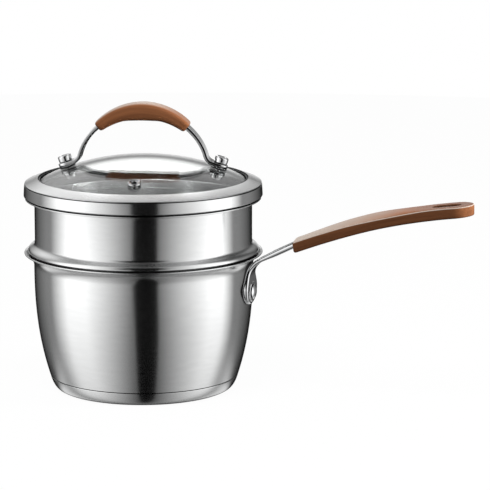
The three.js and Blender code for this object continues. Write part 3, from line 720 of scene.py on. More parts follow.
@dataclass
class PanShell:
    """The drawn pan: a thin wall that draws in towards the base, and a pouring flare at the mouth."""

    radius: float = 80.9
    height: float = 102.3
    draw_in: float = 10.9
    draw_power: float = 2.4
    sheet: float = 1.0
    flare_radius: float = 9.5
    flare_sweep: float = math.radians(73)
    corner_height: float = 9.0
    seam: float = 10.0
    seam_gap: float = 0.65
    cap_sheet: float = 0.7
    core: float = 4.8
    corner_width: float = 7.5
    corner_lean: float = 2.8

    def __post_init__(self) -> None:
        """Works out where the flare starts, where the floor lies and how wide its flat is."""
        self.flare_start = self.height - (self.flare_radius + self.sheet) * math.sin(self.flare_sweep)
        self.flare_reach = self.flare_radius * (1 - math.cos(self.flare_sweep))
        self.floor_under = self.cap_sheet + self.core + 2 * FIT
        self.floor_top = self.floor_under + self.sheet
        self.flat = self.radius - self.draw_in - self.corner_width

    def wall(self, height: Array) -> Array:
        """Outer radius at a height: the mouth's radius less a power of the drop below the flare."""
        drop = (self.flare_start - np.asarray(height, float)) / (self.flare_start - self.seam)
        return self.radius - self.draw_in * np.maximum(0, drop) ** self.draw_power

    def flare(self, wall: float, start: float, offset: float, low: float, high: float) -> Array:
        """Arc of a flare that leaves a wall upright and turns outwards, from one angle to another."""
        angle = np.linspace(low, high, 24)
        radius = self.flare_radius + offset
        across = wall + self.flare_radius - radius * np.cos(angle)
        return np.column_stack([across, start + radius * np.sin(angle)])

    def mouth(self, wall: float, start: float) -> Array:
        """Outer flare, half-round sheet edge and inner flare of a mouth, in that order."""
        outer = self.flare(wall, start, 0, 0, self.flare_sweep)
        inner = self.flare(wall, start, self.sheet, self.flare_sweep, 0)
        middle, half = (outer[-1] + inner[0]) / 2, (outer[-1] - inner[0]) / 2
        onward = np.array([math.sin(self.flare_sweep), math.cos(self.flare_sweep)]) * self.sheet / 2
        turn = np.linspace(0, np.pi, 11)[1:-1, None]
        return np.vstack([outer, middle + half * np.cos(turn) + onward * np.sin(turn), inner])

    def outline(self) -> Array:
        """Outline from the axis under the floor, up the outside and down the inside to the axis."""
        tuck = float(self.wall(self.seam)) - self.cap_sheet - FIT
        corner_top = self.floor_top + self.corner_height
        rise = np.linspace(self.seam + self.seam_gap, self.flare_start, 60)
        fall = np.linspace(self.flare_start, corner_top, 50)
        inner_corner = bezier(
            (float(self.wall(corner_top)) - self.sheet, corner_top),
            (tuck - self.sheet, self.floor_top),
            (self.flat - self.sheet, self.floor_top),
        )
        foot = self.floor_under
        under = bezier((self.flat, foot), (tuck - self.sheet, foot), (tuck, self.seam))
        parts = [
            np.array([[0, self.floor_under]]),
            under,
            np.column_stack([self.wall(rise), rise])[:-1],
            self.mouth(self.radius, self.flare_start),
            np.column_stack([self.wall(fall) - self.sheet, fall])[1:-1],
            inner_corner,
            np.array([[0, self.floor_top]]),
        ]
        return np.vstack(parts)

    def cap_outline(self) -> Array:
        """Outline of the steel cap that closes the layered base, with a softened upper edge."""
        top = float(self.wall(self.seam))
        curves = []
        for inset in (0.0, self.cap_sheet):
            lean = top - self.corner_lean - inset
            curves.append(bezier((self.flat, inset), (lean, inset), (top - inset, self.seam)))
        corners = np.vstack([[[0, 0]], curves[0], curves[1][::-1], [[0, self.cap_sheet]]])
        loop = sharp(corners)
        loop[[len(curves[0]), len(curves[0]) + 1], 2] = self.cap_sheet / 3
        return rounded(loop, closed=False)

    def build(self) -> None:
        """Makes the pan body and the base cap, and dresses the core between them."""
        make_piece("pan_body", [revolve(self.outline(), closed=False)], Slot.BRUSHED, Body.PAN)
        make_piece("base_cap", [revolve(self.cap_outline(), closed=False)], Slot.BRUSHED, Body.PAN)
        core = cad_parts["base_core"].data
        core.materials.clear()
        core.materials.append(bpy.data.materials[Slot.CORE.finish])


# Steamer


@dataclass
class SteamerInsert:
    """The lift-out steamer: pierced floor, neck in the pan's mouth, bell on its flare, flared rim."""

    pan: PanShell
    step_in: float = 0.7
    rise: float = 40.5
    bell_height: float = 7.2
    bell_edge: float = 85.2
    bell_lip: float = 0.4
    bell_gap: float = 1.0
    bell_blend: float = 0.9
    seat_start: float = math.radians(25)
    seat_end: float = math.radians(52)
    rim_bend: float = 2.0
    neck_depth: float = 17.3
    neck_clearance: float = 1.0
    neck_round: float = 2.0
    hole_radius: float = 3.0
    hole_pitch: float = 17.0
    hole_rings: int = 3

    def __post_init__(self) -> None:
        """Works out the wall, the rim and the floor from the pan."""
        self.radius = self.pan.radius - self.step_in
        self.top = self.pan.height + self.rise
        self.floor_under = self.pan.height - self.neck_depth

    def seat(self, offset: float, low: float, high: float) -> Array:
        """Arc that lies on the pan's flare, off it by an offset."""
        return self.pan.flare(self.pan.radius, self.pan.flare_start, offset, low, high)

    def outline(self) -> Array:
        """Outline from the axis under the floor, up neck, seat and wall, and back down inside.

        The bell overhangs its seat, so a dark gap stays between its edge and the pan's rim. Its face is a
        Bezier curve that leaves the edge and meets the wall upright.

        Returns:
            Rows of radius and height.
        """
        sheet = self.pan.sheet
        neck = float(self.pan.wall(self.floor_under)) - sheet - self.neck_clearance
        lift = sheet + FIT
        seat = self.seat(lift, self.seat_start, self.seat_end)
        lining = self.seat(lift + sheet, self.seat_end - sheet / self.pan.flare_radius, self.seat_start)
        neck_top = seat[0, 1] - self.neck_round
        foot = self.pan.height + self.bell_gap
        bell_top = self.pan.height + self.bell_height + self.bell_blend
        middle = (foot + self.bell_lip + bell_top) / 2
        bell = bezier(
            (self.bell_edge, foot + self.bell_lip),
            (self.bell_edge, middle),
            (self.radius, middle),
            (self.radius, bell_top),
        )
        floor, deck, under = self.floor_under, self.floor_under + sheet, self.top - sheet
        reach = self.radius + self.pan.flare_reach
        corners = [
            (0, floor, 0),
            (neck, floor, self.neck_round),
            (neck, neck_top, 0),
            *sharp(seat),
            (seat[-1, 0], foot, 0.3),
            (self.bell_edge, foot, self.bell_lip),
            *sharp(bell),
            (self.radius, under, self.rim_bend),
            (reach, under, 0.3),
            (reach, self.top, 0.45),
            (self.radius - sheet, self.top, self.rim_bend + sheet),
            (self.radius - sheet, bell_top - sheet / 2, 1.0),
            *sharp(lining),
            (neck - sheet, neck_top, 0),
            (neck - sheet, deck, self.neck_round - sheet / 2),
            (0, deck, 0),
        ]
        return rounded(corners, closed=False)

    def holes(self) -> list[Shell]:
        """Round tools through the floor: one in the middle, and six more in each ring than in the last."""
        rings = np.arange(1, self.hole_rings + 1)
        ring = np.repeat(rings, 6 * rings)
        step = np.concatenate([np.arange(6 * count) for count in rings])
        turn, reach = 2 * np.pi * step / (6 * ring), self.hole_pitch * ring
        low, high = self.floor_under - self.pan.sheet, self.floor_under + 2 * self.pan.sheet
        bar = np.array([[0, low], [self.hole_radius, low], [self.hole_radius, high], [0, high]])
        tool = revolve(bar, closed=False, segments=HOLE_ROUND)
        spots = np.column_stack([reach * np.cos(turn), reach * np.sin(turn)])
        return [tool] + [tool.placed(Matrix.Translation((x, y, 0))) for x, y in spots]

    def build(self) -> None:
        """Makes the basket and pierces its floor."""
        shell = revolve(self.outline(), closed=False)
        basket = make_piece("steamer_basket", [shell], Slot.BRUSHED, Body.STEAMER)
        pierce(basket, self.holes())


# Lid


@dataclass
class LidRing:
    """The steel ring of the lid: skirt, seat flange, band, bevel and the lip that holds the glass."""

    steamer: SteamerInsert
    turn: float = math.radians(14)
    overhang: float = 1.1
    band_height: float = 10.2
    band_lean: float = 0.5
    bevel_width: float = 10.1
    bevel_rise: float = 4.0
    skirt_depth: float = 6.5
    skirt_clearance: float = 0.8
    glass_lap: float = 2.6
    seal_wall: float = 3.0
    seal_lap: float = 1.6
    groove: float = 0.5
    groove_depth: float = 1.2
    groove_floor: float = 0.7
    bevel_foot: float = 0.5
    bevel_start: float = 0.4
    foot_gap: float = 1.1
    foot_depth: float = 2.6
    tongue: float = 1.0
    tongue_reach: float = 1.7
    dome_radius: float = 177.0
    glass_below_lip: float = 2.6
    glass: float = 4.0

    def __post_init__(self) -> None:
        """Works out the ring from the steamer's rim, and the dome from the ring's lip."""
        self.sheet = self.steamer.pan.sheet
        self.seat = self.steamer.top + FIT
        self.band = self.steamer.radius + self.steamer.pan.flare_reach + self.overhang
        self.band_upper = self.band - self.band_lean
        self.band_top = self.seat + self.band_height
        self.lip = self.band_upper - self.bevel_width
        self.lip_top = self.band_top + self.bevel_rise
        self.skirt = self.steamer.radius - self.sheet - self.skirt_clearance
        self.glass_edge = self.lip + self.glass_lap
        depth = math.sqrt(self.dome_radius**2 - self.lip**2)
        self.dome_centre = self.lip_top - self.glass_below_lip - depth
        self.dome_top = self.dome_centre + self.dome_radius

    def dome(self, distance: Array, inset: float = 0.0) -> Array:
        """Height of the dome's face at a distance from the axis: a sphere about a centre below the lid."""
        return self.dome_centre + np.sqrt((self.dome_radius - inset) ** 2 - np.asarray(distance, float) ** 2)

    def bevel_under(self, distance: float) -> float:
        """Height of the bevel's underside at a distance from the axis."""
        share = (self.band_upper - distance) / self.bevel_width
        slope = math.hypot(1, self.bevel_rise / self.bevel_width)
        return self.band_top + share * self.bevel_rise - self.sheet * slope

    def stand(self, distance: float, turn: float) -> Matrix:
        """Matrix of a place on the turned dome with +Z along its outward normal, in millimetres."""
        tilt = math.asin(distance / self.dome_radius)
        place = Vector((distance * math.cos(turn), distance * math.sin(turn), float(self.dome(distance))))
        local = Matrix.Translation(place) @ Matrix.Rotation(turn, 4, "Z") @ Matrix.Rotation(tilt, 4, "Y")
        return self.spin() @ local

    def spin(self) -> Matrix:
        """The lid's turn about the pan's axis."""
        return Matrix.Rotation(self.turn, 4, "Z")

    def ring_outline(self) -> Array:
        """Outline of the ring, with a fine groove where the bevel laps over the band."""
        band, upper, seat, sheet, groove = self.band, self.band_upper, self.seat, self.sheet, self.groove
        lip_foot = float(self.dome(self.lip)) + self.tongue + 2 * FIT
        shade, hem, foot = self.band_top - groove, seat - self.skirt_depth, seat + self.foot_gap
        step, lip, inner = band - self.foot_depth, self.lip + sheet, upper - 2 * sheet
        corners = [
            (self.skirt, hem, 0.4),
            (self.skirt, seat, 0.4),
            (step, seat, 0.2),
            (step, foot, 0.1),
            (band, foot, 0.4),
            (upper, shade - groove, 0.15),
            (upper - self.groove_depth, shade - groove * self.groove_floor, 0.1),
            (upper - self.groove_depth, shade, 0.1),
            (upper, self.band_top - groove * self.bevel_foot, 0.2),
            (upper - groove, self.band_top + groove * self.bevel_start, 0.6),
            (self.lip, self.lip_top, 0.7),
            (self.lip, lip_foot, 0.2),
            (lip, lip_foot, 0.2),
            (lip, self.bevel_under(lip), 0.2),
            (inner, self.bevel_under(inner), 0.4),
            (inner, shade - 2 * sheet, 0.4),
            (band - sheet, foot + sheet, 0.2),
            (step - sheet, foot + sheet, 0.2),
            (step - sheet, seat + sheet, 0.2),
            (self.skirt - sheet, seat + sheet, 0.8),
            (self.skirt - sheet, hem, 0.4),
        ]
        return rounded(corners)

    def seal_outline(self) -> Array:
        """Outline of the soft channel round the edge of the glass."""
        foot = self.seat + self.sheet + FIT
        inner, outer = self.glass_edge - self.seal_lap, self.glass_edge + self.seal_wall
        lip = self.lip + self.sheet + FIT
        slit, tip = self.glass_edge + FIT, self.lip - self.tongue_reach
        corners = [
            (inner, foot, 0.4),
            (outer, foot, 0.4),
            (outer, self.bevel_under(outer) - FIT, 0.4),
            (lip, self.bevel_under(lip) - FIT, 0.3),
            (lip, float(self.dome(lip)) + self.tongue, 0.2),
            (tip, float(self.dome(tip)) + FIT + self.tongue, 0.4),
            (tip, float(self.dome(tip)) + FIT, 0.2),
            (slit, float(self.dome(self.glass_edge)) + FIT, 0.1),
            (slit, float(self.dome(self.glass_edge, self.glass)) - FIT, 0.1),
            (inner, float(self.dome(inner, self.glass)) - FIT, 0.3),
        ]
        return rounded(corners)

    def glass_outline(self) -> Array:
        """Outline of the glass, from the axis below to the axis above, with a softened edge."""
        reach = np.linspace(0, self.glass_edge, 70)
        below = np.column_stack([reach, self.dome(reach, self.glass)])
        above = np.column_stack([reach, self.dome(reach)])[::-1]
        corners = sharp(np.vstack([below, above]))
        corners[[len(reach) - 1, len(reach)], 2] = 0.5
        return rounded(corners, closed=False)

    def build(self, bores: list[Shell]) -> None:
        """Makes the ring, the seal and the glass.

        Args:
            bores: tools for the holes through the glass.
        """
        make_piece("lid_rim", [revolve(self.ring_outline())], Slot.BRUSHED, Body.LID)
        make_piece("rim_seal", [revolve(self.seal_outline())], Slot.SILICONE, Body.LID)
        glass = make_piece("lid_glass", [revolve(self.glass_outline(), closed=False)], Slot.GLASS, Body.LID)
        pierce(glass, bores)


@dataclass
class SteamVent:
    """The eyelet in the dome: a tube with a flange on either side of the glass."""

    ring: LidRing
    from_lip: float = 17.4
    flange: float = 4.8
    thickness: float = 1.0
    bore: float = 2.0
    tube: float = 0.8
    roll: float = 0.35
    mouth: float = 0.9
    mouth_drop: float = 0.4

    def stand(self) -> Matrix:
        """Where the vent sits on the dome."""
        return self.ring.stand(self.ring.lip - self.from_lip, -math.pi / 2)

    def tool(self) -> Shell:
        """Tool for the vent's hole in the glass."""
        return drill(self.bore + self.tube + FIT, self.ring.glass, self.stand())

    def build(self) -> None:
        """Makes the eyelet, with a rolled upper flange."""
        under = -self.ring.glass - FIT
        high = FIT + self.thickness
        corners = [
            (self.bore, under - self.thickness, 0.3),
            (self.flange, under - self.thickness, 0.4),
            (self.flange, under, 0.2),
            (self.bore + self.tube, under, 0.1),
            (self.bore + self.tube, FIT, 0.1),
            (self.flange, FIT, 0.25),
            (self.flange, high, 0.7),
            (self.flange - self.thickness, high + self.roll, 0.5),
            (self.bore + self.mouth, high, 0.5),
            (self.bore, high - self.mouth_drop, 0.4),
        ]
        shell = revolve(rounded(corners), segments=SMALL_ROUND).placed(self.stand())
        make_piece("vent_eyelet", [shell], Slot.POLISHED, Body.LID)


def drill(radius: float, depth: float, stand: Matrix) -> Shell:
    """A round tool through the glass at a stand on the dome."""
    bar = np.array([[0, -2 * depth], [radius, -2 * depth], [radius, 2 * depth], [0, 2 * depth]])
    return revolve(bar, closed=False, segments=SMALL_ROUND).placed(stand)


@dataclass
class StudStack:
    """The two studs of the lid handle: nut and gasket above the glass, the other pieces below it."""

    ring: LidRing
    from_lip: float = 21.9
    strap: float = 3.0
    shank: float = 2.0
    gasket: float = 6.0
    gasket_thickness: float = 1.0
    washer: float = 6.0
    washer_thickness: float = 1.0
    nut: float = 5.0
    nut_height: float = 4.6
    nut_round: float = 1.1
    nut_roof: float = 1.5
    nut_step: float = 0.25
    step_from: float = 0.62
    step_to: float = 0.56
    head: float = 4.0
    head_height: float = 2.4
    head_flat: float = 0.55
    disc_edge: float = 0.3

    def __post_init__(self) -> None:
        """Stacks the pieces along the stud, from the dome's outer face."""
        self.distance = self.ring.lip - self.from_lip
        self.bore = self.shank + FIT
        self.strap_foot = 2 * FIT + self.gasket_thickness
        self.nut_foot = self.strap_foot + self.strap + FIT
        self.bore_top = self.nut_foot + self.nut_height - self.nut_roof
        self.under = -self.ring.glass - FIT
        self.washer_top = self.under - self.gasket_thickness - FIT
        self.screw_seat = self.washer_top - self.washer_thickness - FIT
        self.sides = (("left", math.pi), ("right", 0.0))

    def tools(self) -> list[Shell]:
        """Tools for the stud holes in the glass."""
        stands = [self.ring.stand(self.distance, turn) for _, turn in self.sides]
        return [drill(self.bore, self.ring.glass, stand) for stand in stands]

    def nut_outline(self) -> Array:
        """Outline of the barrel nut, blind from below, with a turned step on its top."""
        high = self.nut_foot + self.nut_height
        corners = [
            (0, self.bore_top, 0),
            (self.bore, self.bore_top, 0.1),
            (self.bore, self.nut_foot, 0.2),
            (self.nut, self.nut_foot, 0.7),
            (self.nut, high, self.nut_round),
            (self.nut * self.step_from, high, 0.2),
            (self.nut * self.step_to, high - self.nut_step, 0.2),
            (0, high - self.nut_step, 0),
        ]
        return rounded(corners, closed=False)

    def screw_outline(self) -> Array:
        """Outline of the screw with a domed head."""
        low = self.screw_seat - self.head_height
        corners = [
            (0, low, 0),
            (self.head * self.head_flat, low, 1.2),
            (self.head, self.screw_seat - self.head_height / 2, 0.8),
            (self.head, self.screw_seat, 0.2),
            (self.shank, self.screw_seat, 0.2),
            (self.shank, self.bore_top - FIT, 0.4),
            (0, self.bore_top - FIT, 0),
        ]
        return rounded(corners, closed=False)

    def build(self) -> None:
        """Makes the ten pieces of the two studs."""
        washer_foot = self.washer_top - self.washer_thickness
        discs = [
            ("stud_washer", self.washer, washer_foot, self.washer_top, Slot.POLISHED),
            ("upper_gasket", self.gasket, FIT, FIT + self.gasket_thickness, Slot.SILICONE),
            ("lower_gasket", self.gasket, self.under - self.gasket_thickness, self.under, Slot.SILICONE),
        ]
        parts = [
            ("cap_nut", self.nut_outline(), False, Slot.POLISHED),
            ("stud_screw", self.screw_outline(), False, Slot.POLISHED),
        ]
        for name, radius, low, high, slot in discs:
            parts.append((name, disc_outline(radius, self.bore, low, high, self.disc_edge), True, slot))
        for side, turn in self.sides:
            stand = self.ring.stand(self.distance, turn)
            for name, outline, closed, slot in parts:
                shell = revolve(outline, closed=closed, segments=SMALL_ROUND).placed(stand)
                make_piece(f"{side}_{name}", [shell], slot, Body.LID)


@dataclass
class LidHandle:
    """The lid handle: a bent steel strap on two feet, and a moulded grip over its arch."""

    ring: LidRing
    studs: StudStack
    width: float = 12.0
    edge: float = 0.5
    toe: float = 6.0
    heel: float = 5.3
    leg_bend: float = 4.5
    leg_from_stud: float = 8.0
    leg_curve: float = 13.7
    arch: float = 50.0
    half_span: float = 33.0
    crown: float = 34.0
    grip_height: float = 12.2
    grip_end_height: float = 7.8
    grip_taper: float = 1.6
    grip_pad: float = 1.0
    pad_span: float = 0.3
    painted_sheen: float = 0.75
    painted_sheen_span: tuple[float, float] = (0.5, 0.9)
    painted_sheen_edge: tuple[float, float] = (0.4, 0.5)
    grip_depth: float = 17.0
    grip_square: float = 4.2
    grip_nose: float = 4.0
    smooth: float = 60.0

    def foot(self, along: float) -> tuple[float, float]:
        """A point of the right foot's middle line, measured outwards from its stud."""
        tilt = math.asin(self.studs.distance / self.ring.dome_radius)
        lift = self.studs.strap_foot + self.studs.strap / 2
        x = self.studs.distance + lift * math.sin(tilt) + along * math.cos(tilt)
        z = float(self.ring.dome(self.studs.distance)) + lift * math.cos(tilt) - along * math.sin(tilt)
        return x, z

    def arch_line(self) -> Array:
        """The arch from left to right: a circle of the arch's radius under its crown."""
        reach = math.asin(self.half_span / self.arch)
        angle = np.linspace(-reach, reach, 80)
        top = self.ring.dome_top + self.crown
        return np.column_stack([self.arch * np.sin(angle), top - self.arch * (1 - np.cos(angle))])

    def right_leg(self) -> Array:
        """From the end of the arch down the bowed leg, round the bend and out along the foot to its toe."""
        tilt = math.asin(self.studs.distance / self.ring.dome_radius)
        slope = math.asin(self.half_span / self.arch)
        top = self.arch_line()[-1]
        pull = top + self.leg_curve * np.array([math.cos(slope), -math.sin(slope)])
        inward = self.studs.distance - self.leg_from_stud - self.foot(0)[0]
        corner = np.array(self.foot(inward / math.cos(tilt)))
        low = corner + unit(pull - corner) * self.leg_bend
        heel = np.array(self.foot(-self.heel))
        leg = bezier(top, pull, low, steps=40)[1:]
        bend = bezier(low, corner, heel, steps=24)[1:]
        return np.vstack([leg, bend, np.linspace(heel, self.foot(self.toe), 20)[1:]])

    def strap_rail(self) -> Rail:
        """The strap's middle line from the left toe to the right toe."""
        right = self.right_leg()
        left = right[::-1] * (-1, 1)
        return Rail(np.vstack([left, self.arch_line(), right]))

    def strap(self) -> Shell:
        """A flat bar along the strap's line with half-round toes: a toe's rows swing about its centre."""
        rail = self.strap_rail()
        half = self.width / 2
        swing = np.linspace(0, np.pi / 2, 16)
        run = np.linspace(half, rail.length - half, 260)
        toe = np.full(len(swing) - 1, half)
        base = np.concatenate([toe, run, rail.length - toe])
        turn = np.concatenate([-swing[:0:-1], np.zeros(len(run)), swing[1:]])
        size = np.full(len(base), half)
        thick, edge = np.full(len(base), self.studs.strap), np.full(len(base), self.edge)
        reach, out = slab_loop(size, thick, edge)
        at = base[:, None] + np.abs(reach) * np.sin(turn)[:, None]
        return Shell.grid(rail.place(at, reach * np.cos(turn)[:, None], out), close_columns=True)

    def grip(self) -> tuple[Shell, Array, Array]:
        """A squared oval carried along the arch: it thins towards both ends and closes in a rounded nose.

        The nose is a squared oval too. Under the middle a pad swells by a smooth bump along the arch.

        Returns:
            The surface, its points' places along and across the grip, and its painted highlight at each.
        """
        rail = Rail(self.arch_line())
        nose = np.linspace(0, np.pi / 2, 14)
        run = np.linspace(self.grip_nose, rail.length - self.grip_nose, 110)
        power = 2 / self.grip_square
        start = self.grip_nose * (1 - np.sin(nose) ** power)[::-1]
        at = np.concatenate([start[:-1], run, rail.length - start[::-1][1:]])
        close = np.maximum(np.cos(nose), 0) ** power
        shrink = np.concatenate([close[::-1][:-1], np.ones(len(run)), close[1:]])
        share = np.abs(2 * at / rail.length - 1) ** self.grip_taper
        height = self.grip_height + (self.grip_end_height - self.grip_height) * share
        angle = np.linspace(0, 2 * np.pi, 72, endpoint=False)
        side = np.sign(np.cos(angle)) * np.abs(np.cos(angle)) ** power * self.grip_depth / 2
        up = np.sign(np.sin(angle)) * np.abs(np.sin(angle)) ** power / 2
        across, out = shrink[:, None] * side, (shrink * height)[:, None] * up
        pad = self.grip_pad * (1 - ease(share, 0, self.pad_span))
        out = out + pad[:, None] * np.minimum(up, 0) * 2
        grid = rail.place(at[:, None], across, out)
        grain = np.stack(np.broadcast_arrays(at[:, None], across, out), axis=-1)
        # Painted highlight on the grip's top, fading over the right half of the arch.
        painted_sheen = self.painted_sheen * (1 - self.painted_sheen * ease(at / rail.length, *self.painted_sheen_span))
        painted_light = painted_sheen[:, None] * ease(up, *self.painted_sheen_edge)
        return Shell.grid(grid, close_columns=True), grain.reshape(-1, 3), painted_light.ravel()

    def build(self) -> None:
        """Makes the strap and the grip, turned with the lid."""
        spin = self.ring.spin()
        make_piece("lid_handle_strap", [self.strap().placed(spin)], Slot.POLISHED, Body.LID)
        shell, grain, painted_light = self.grip()
        make_piece("lid_handle_grip", [shell.placed(spin)], Slot.GRIP, Body.LID, self.smooth, grain, painted_light)


# Long handle


@dataclass
class LongHandle:
    """The long handle: teardrop tab on the wall, rivet, bent bar, and a moulded grip with a slot."""

    pan: PanShell
    tab: float = 12.0
    tab_below_rim: float = 23.3
    tab_thickness: float = 3.5
    neck_end: float = 29.0
    boss: float = 7.4
    boss_height: float = 0.7
    boss_skirt: float = 0.9
    boss_toe: float = 0.25
    boss_draft: float = 0.3
    boss_root: float = 1.0
    bar: float = 12.0
    bar_thickness: float = 4.4
    bend_thickness: float = 3.2
    bar_edge: float = 2.1
    tab_edge: float = 1.4
    tab_rise: float = 0.7
    edge_slack: float = 0.1
    fine_to: float = 60.0
    bend_reach: float = 12.1
    below_rim: float = 0.8
    bar_from: float = 38.0
    bar_to: float = 52.0
    rivet_below_tab: float = 2.5
    rivet: float = 3.0
    rivet_head: float = 5.4
    rivet_head_height: float = 1.9
    rivet_rim: float = 0.4
    rivet_tail: float = 5.0
    rivet_tail_height: float = 1.2
    start: float = 37.1
    length: float = 131.5
    start_rise: float = 11.7
    end_rise: float = 34.2
    pull_reach: float = 77.0
    pull_rise: float = 30.3
    grip_width: float = 28.0
    grip_neck: float = 21.0
    widen_from: float = -10.0
    widen_past: float = 5.0
    crown: float = 3.6
    front_crown: float = 2.2
    crown_to: float = 50.0
    dish: float = 1.2
    dish_from: float = 58.0
    end_lift: float = 1.2
    lift_from: float = 55.0
    sink: float = 1.4
    sink_from: float = 40.0
    sink_to: float = 90.0
    shoulder: float = 6.0
    painted_sheen: float = 1.0
    painted_sheen_to: float = 125.0
    tip_shade: float = 0.45
    tip_shade_from: float = 65.0
    tip_shade_to: float = 115.0
    crease_highlight: float = 1.2
    front_round: float = 2.4
    front_edge: float = 0.9
    upright_to: float = 20.0
    crease: float = 2.0
    side: float = 6.9
    side_lean: float = 1.8
    belly: float = 1.1
    belly_lift: float = 0.6
    crease_round: float = 0.7
    belly_round: float = 1.4
    slot: float = 4.5
    slot_run: float = 11.0
    slot_round: float = 1.3
    slot_lead: float = 0.6
    tang: float = 70.0
    screw_place: float = 0.22
    screw: float = 2.0
    screw_head: float = 4.0
    screw_head_height: float = 1.4
    screw_shoulder: float = 1.7
    dimple: float = 0.3
    dimple_floor: float = 0.35
    dimple_rim: float = 0.45
    smooth: float = 50.0

    def __post_init__(self) -> None:
        """Lays out the grip's line, the bend of the bar and the rivet's height."""
        self.tab_centre = self.pan.height - self.tab_below_rim
        self.rivet_height = self.tab_centre - self.rivet_below_tab
        self.grip_from = np.array([self.pan.radius + self.start, self.pan.height + self.start_rise])
        pull = self.grip_from + (self.pull_reach, self.pull_rise)
        tip = self.grip_from + (self.length, self.end_rise)
        self.line = bezier(self.grip_from, pull, tip, steps=400)
        self.rail = Rail(self.line)
        self.half = self.grip_width / 2

    def bracket_rail(self) -> Rail:
        """Up the wall from the tab's foot, round the bend, along the bar and into the grip."""
        gap = FIT + self.tab_thickness / 2
        rise = np.linspace(self.tab_centre - self.tab, self.tab_centre + self.tab * self.tab_rise, 60)
        wall = np.column_stack([self.pan.wall(rise) + gap, rise])
        bend_end = np.array([self.pan.radius + self.bend_reach, self.pan.height - self.below_rim])
        slope = (self.grip_from - bend_end)[1] / (self.grip_from - bend_end)[0]
        upright = wall[-1, 0] + (self.bend_thickness - self.tab_thickness) / 2
        pull = (upright, bend_end[1] - slope * (bend_end[0] - upright))
        bend = bezier(wall[-1], pull, bend_end, steps=60)
        tang = self.line[self.rail.marks < self.tang]
        return Rail(np.vstack([wall, bend[1:], np.linspace(bend_end, self.grip_from, 40)[1:], tang[1:]]))

    def bracket(self) -> Shell:
        """A bar along the bracket's line that widens into the tab.

        The tab's foot is half-round: its rows swing about the tab's centre. Its face is flat, and its back
        bends by the square of the distance over twice the wall's radius, so that it lies on the wall.

        Returns:
            The closed surface.
        """
        rail = self.bracket_rail()
        swing = np.linspace(-np.pi / 2, 0, 20)[:-1]
        fine, coarse = np.linspace(self.tab, self.fine_to, 110), np.linspace(self.fine_to, rail.length, 90)
        run = np.concatenate([fine, coarse[1:]])
        base = np.concatenate([np.full(len(swing), self.tab), run])
        turn = np.concatenate([swing, np.zeros(len(run))])[:, None]
        fade = ease(base, self.tab, self.neck_end)
        half = self.tab + (self.bar / 2 - self.tab) * fade
        thick = self.tab_thickness + (self.bend_thickness - self.tab_thickness) * fade
        thick = thick + (self.bar_thickness - self.bend_thickness) * ease(base, self.bar_from, self.bar_to)
        edge = self.tab_edge + (self.bar_edge - self.tab_edge) * fade
        reach, out = slab_loop(half, thick, np.minimum(edge, thick / 2 - self.edge_slack))
        behind = 0.5 - out / thick[:, None]
        bow = (1 - fade)[:, None] * behind * reach**2 / (2 * self.pan.radius)
        at = base[:, None] + np.abs(reach) * np.sin(turn)
        points = rail.place(at, reach * np.cos(turn), -out)
        points[..., 0] -= bow * np.cos(turn) ** 2
        return capped(points)

    def wall_stand(self) -> Matrix:
        """Matrix with +Z out along the handle at the rivet's height, in millimetres."""
        return Matrix.Translation((0, 0, self.rivet_height)) @ Matrix.Rotation(math.pi / 2, 4, "Y")

    def boss_shell(self) -> Shell:
        """The raised seat round the rivet, with a hollow foot that runs into the tab."""
        face = float(self.pan.wall(self.rivet_height)) + FIT + self.tab_thickness
        top = face + self.boss_height
        corners = [
            (0, face - self.boss_root, 0),
            (self.boss + self.boss_skirt, face - self.boss_root, 0),
            (self.boss + self.boss_skirt, face - self.boss_toe, 0),
            (self.boss, face, 0.5),
            (self.boss - self.boss_draft, top, 0.4),
            (0, top, 0),
        ]
        outline = rounded(corners, closed=False)
        return revolve(outline, closed=False, segments=RIVET_ROUND).placed(self.wall_stand())

    def rivet_shell(self) -> Shell:
        """The rivet: flat upset tail inside the pan, shank, and a domed head outside."""
        wall = float(self.pan.wall(self.rivet_height))
        seat = wall + 2 * FIT + self.tab_thickness + self.boss_height
        tail = wall - self.pan.sheet - FIT
        corners = [
            (0, tail - self.rivet_tail_height, 0),
            (self.rivet_tail, tail - self.rivet_tail_height, 0.8),
            (self.rivet_tail, tail - FIT, 0.1),
            (self.rivet, tail - FIT, 0.1),
            (self.rivet, seat, 0.1),
            (self.rivet_head, seat, 0.3),
            *sharp(self.rivet_dome(seat)),
        ]
        outline = rounded(corners, closed=False)
        return revolve(outline, closed=False, segments=RIVET_ROUND).placed(self.wall_stand())

    def rivet_dome(self, seat: float) -> Array:
        """Face of the rivet's head, from its edge to the axis: a sphere over the head's width and height."""
        edge, rise = self.rivet_head, self.rivet_head_height - self.rivet_rim
        ball = (edge**2 + rise**2) / (2 * rise)
        reach = np.linspace(edge, 0, 20)
        return np.column_stack([reach, seat + self.rivet_rim + rise - ball + np.sqrt(ball**2 - reach**2)])

    def grip_half(self, at: Array) -> Array:
        """Half width of the grip: it widens from its neck to full width before the slot."""
        neck = self.grip_neck / 2
        return neck + (self.half - neck) * ease(at, self.widen_from, self.pull_reach + self.widen_past)

    def front_inset(self, at: Array, radius: float) -> Array:
        """How far an edge of the grip's front face stands back at a length from it: a quarter circle."""
        share = np.clip(1 - at / radius, 0, 1)
        return radius * (1 - np.sqrt(1 - share**2))

    def crown_share(self, reach: Array, half: Array) -> Array:
        """Share of a crown's height at a reach: one less the square of its part of the half width."""
        return 1 - (reach / half) ** 2

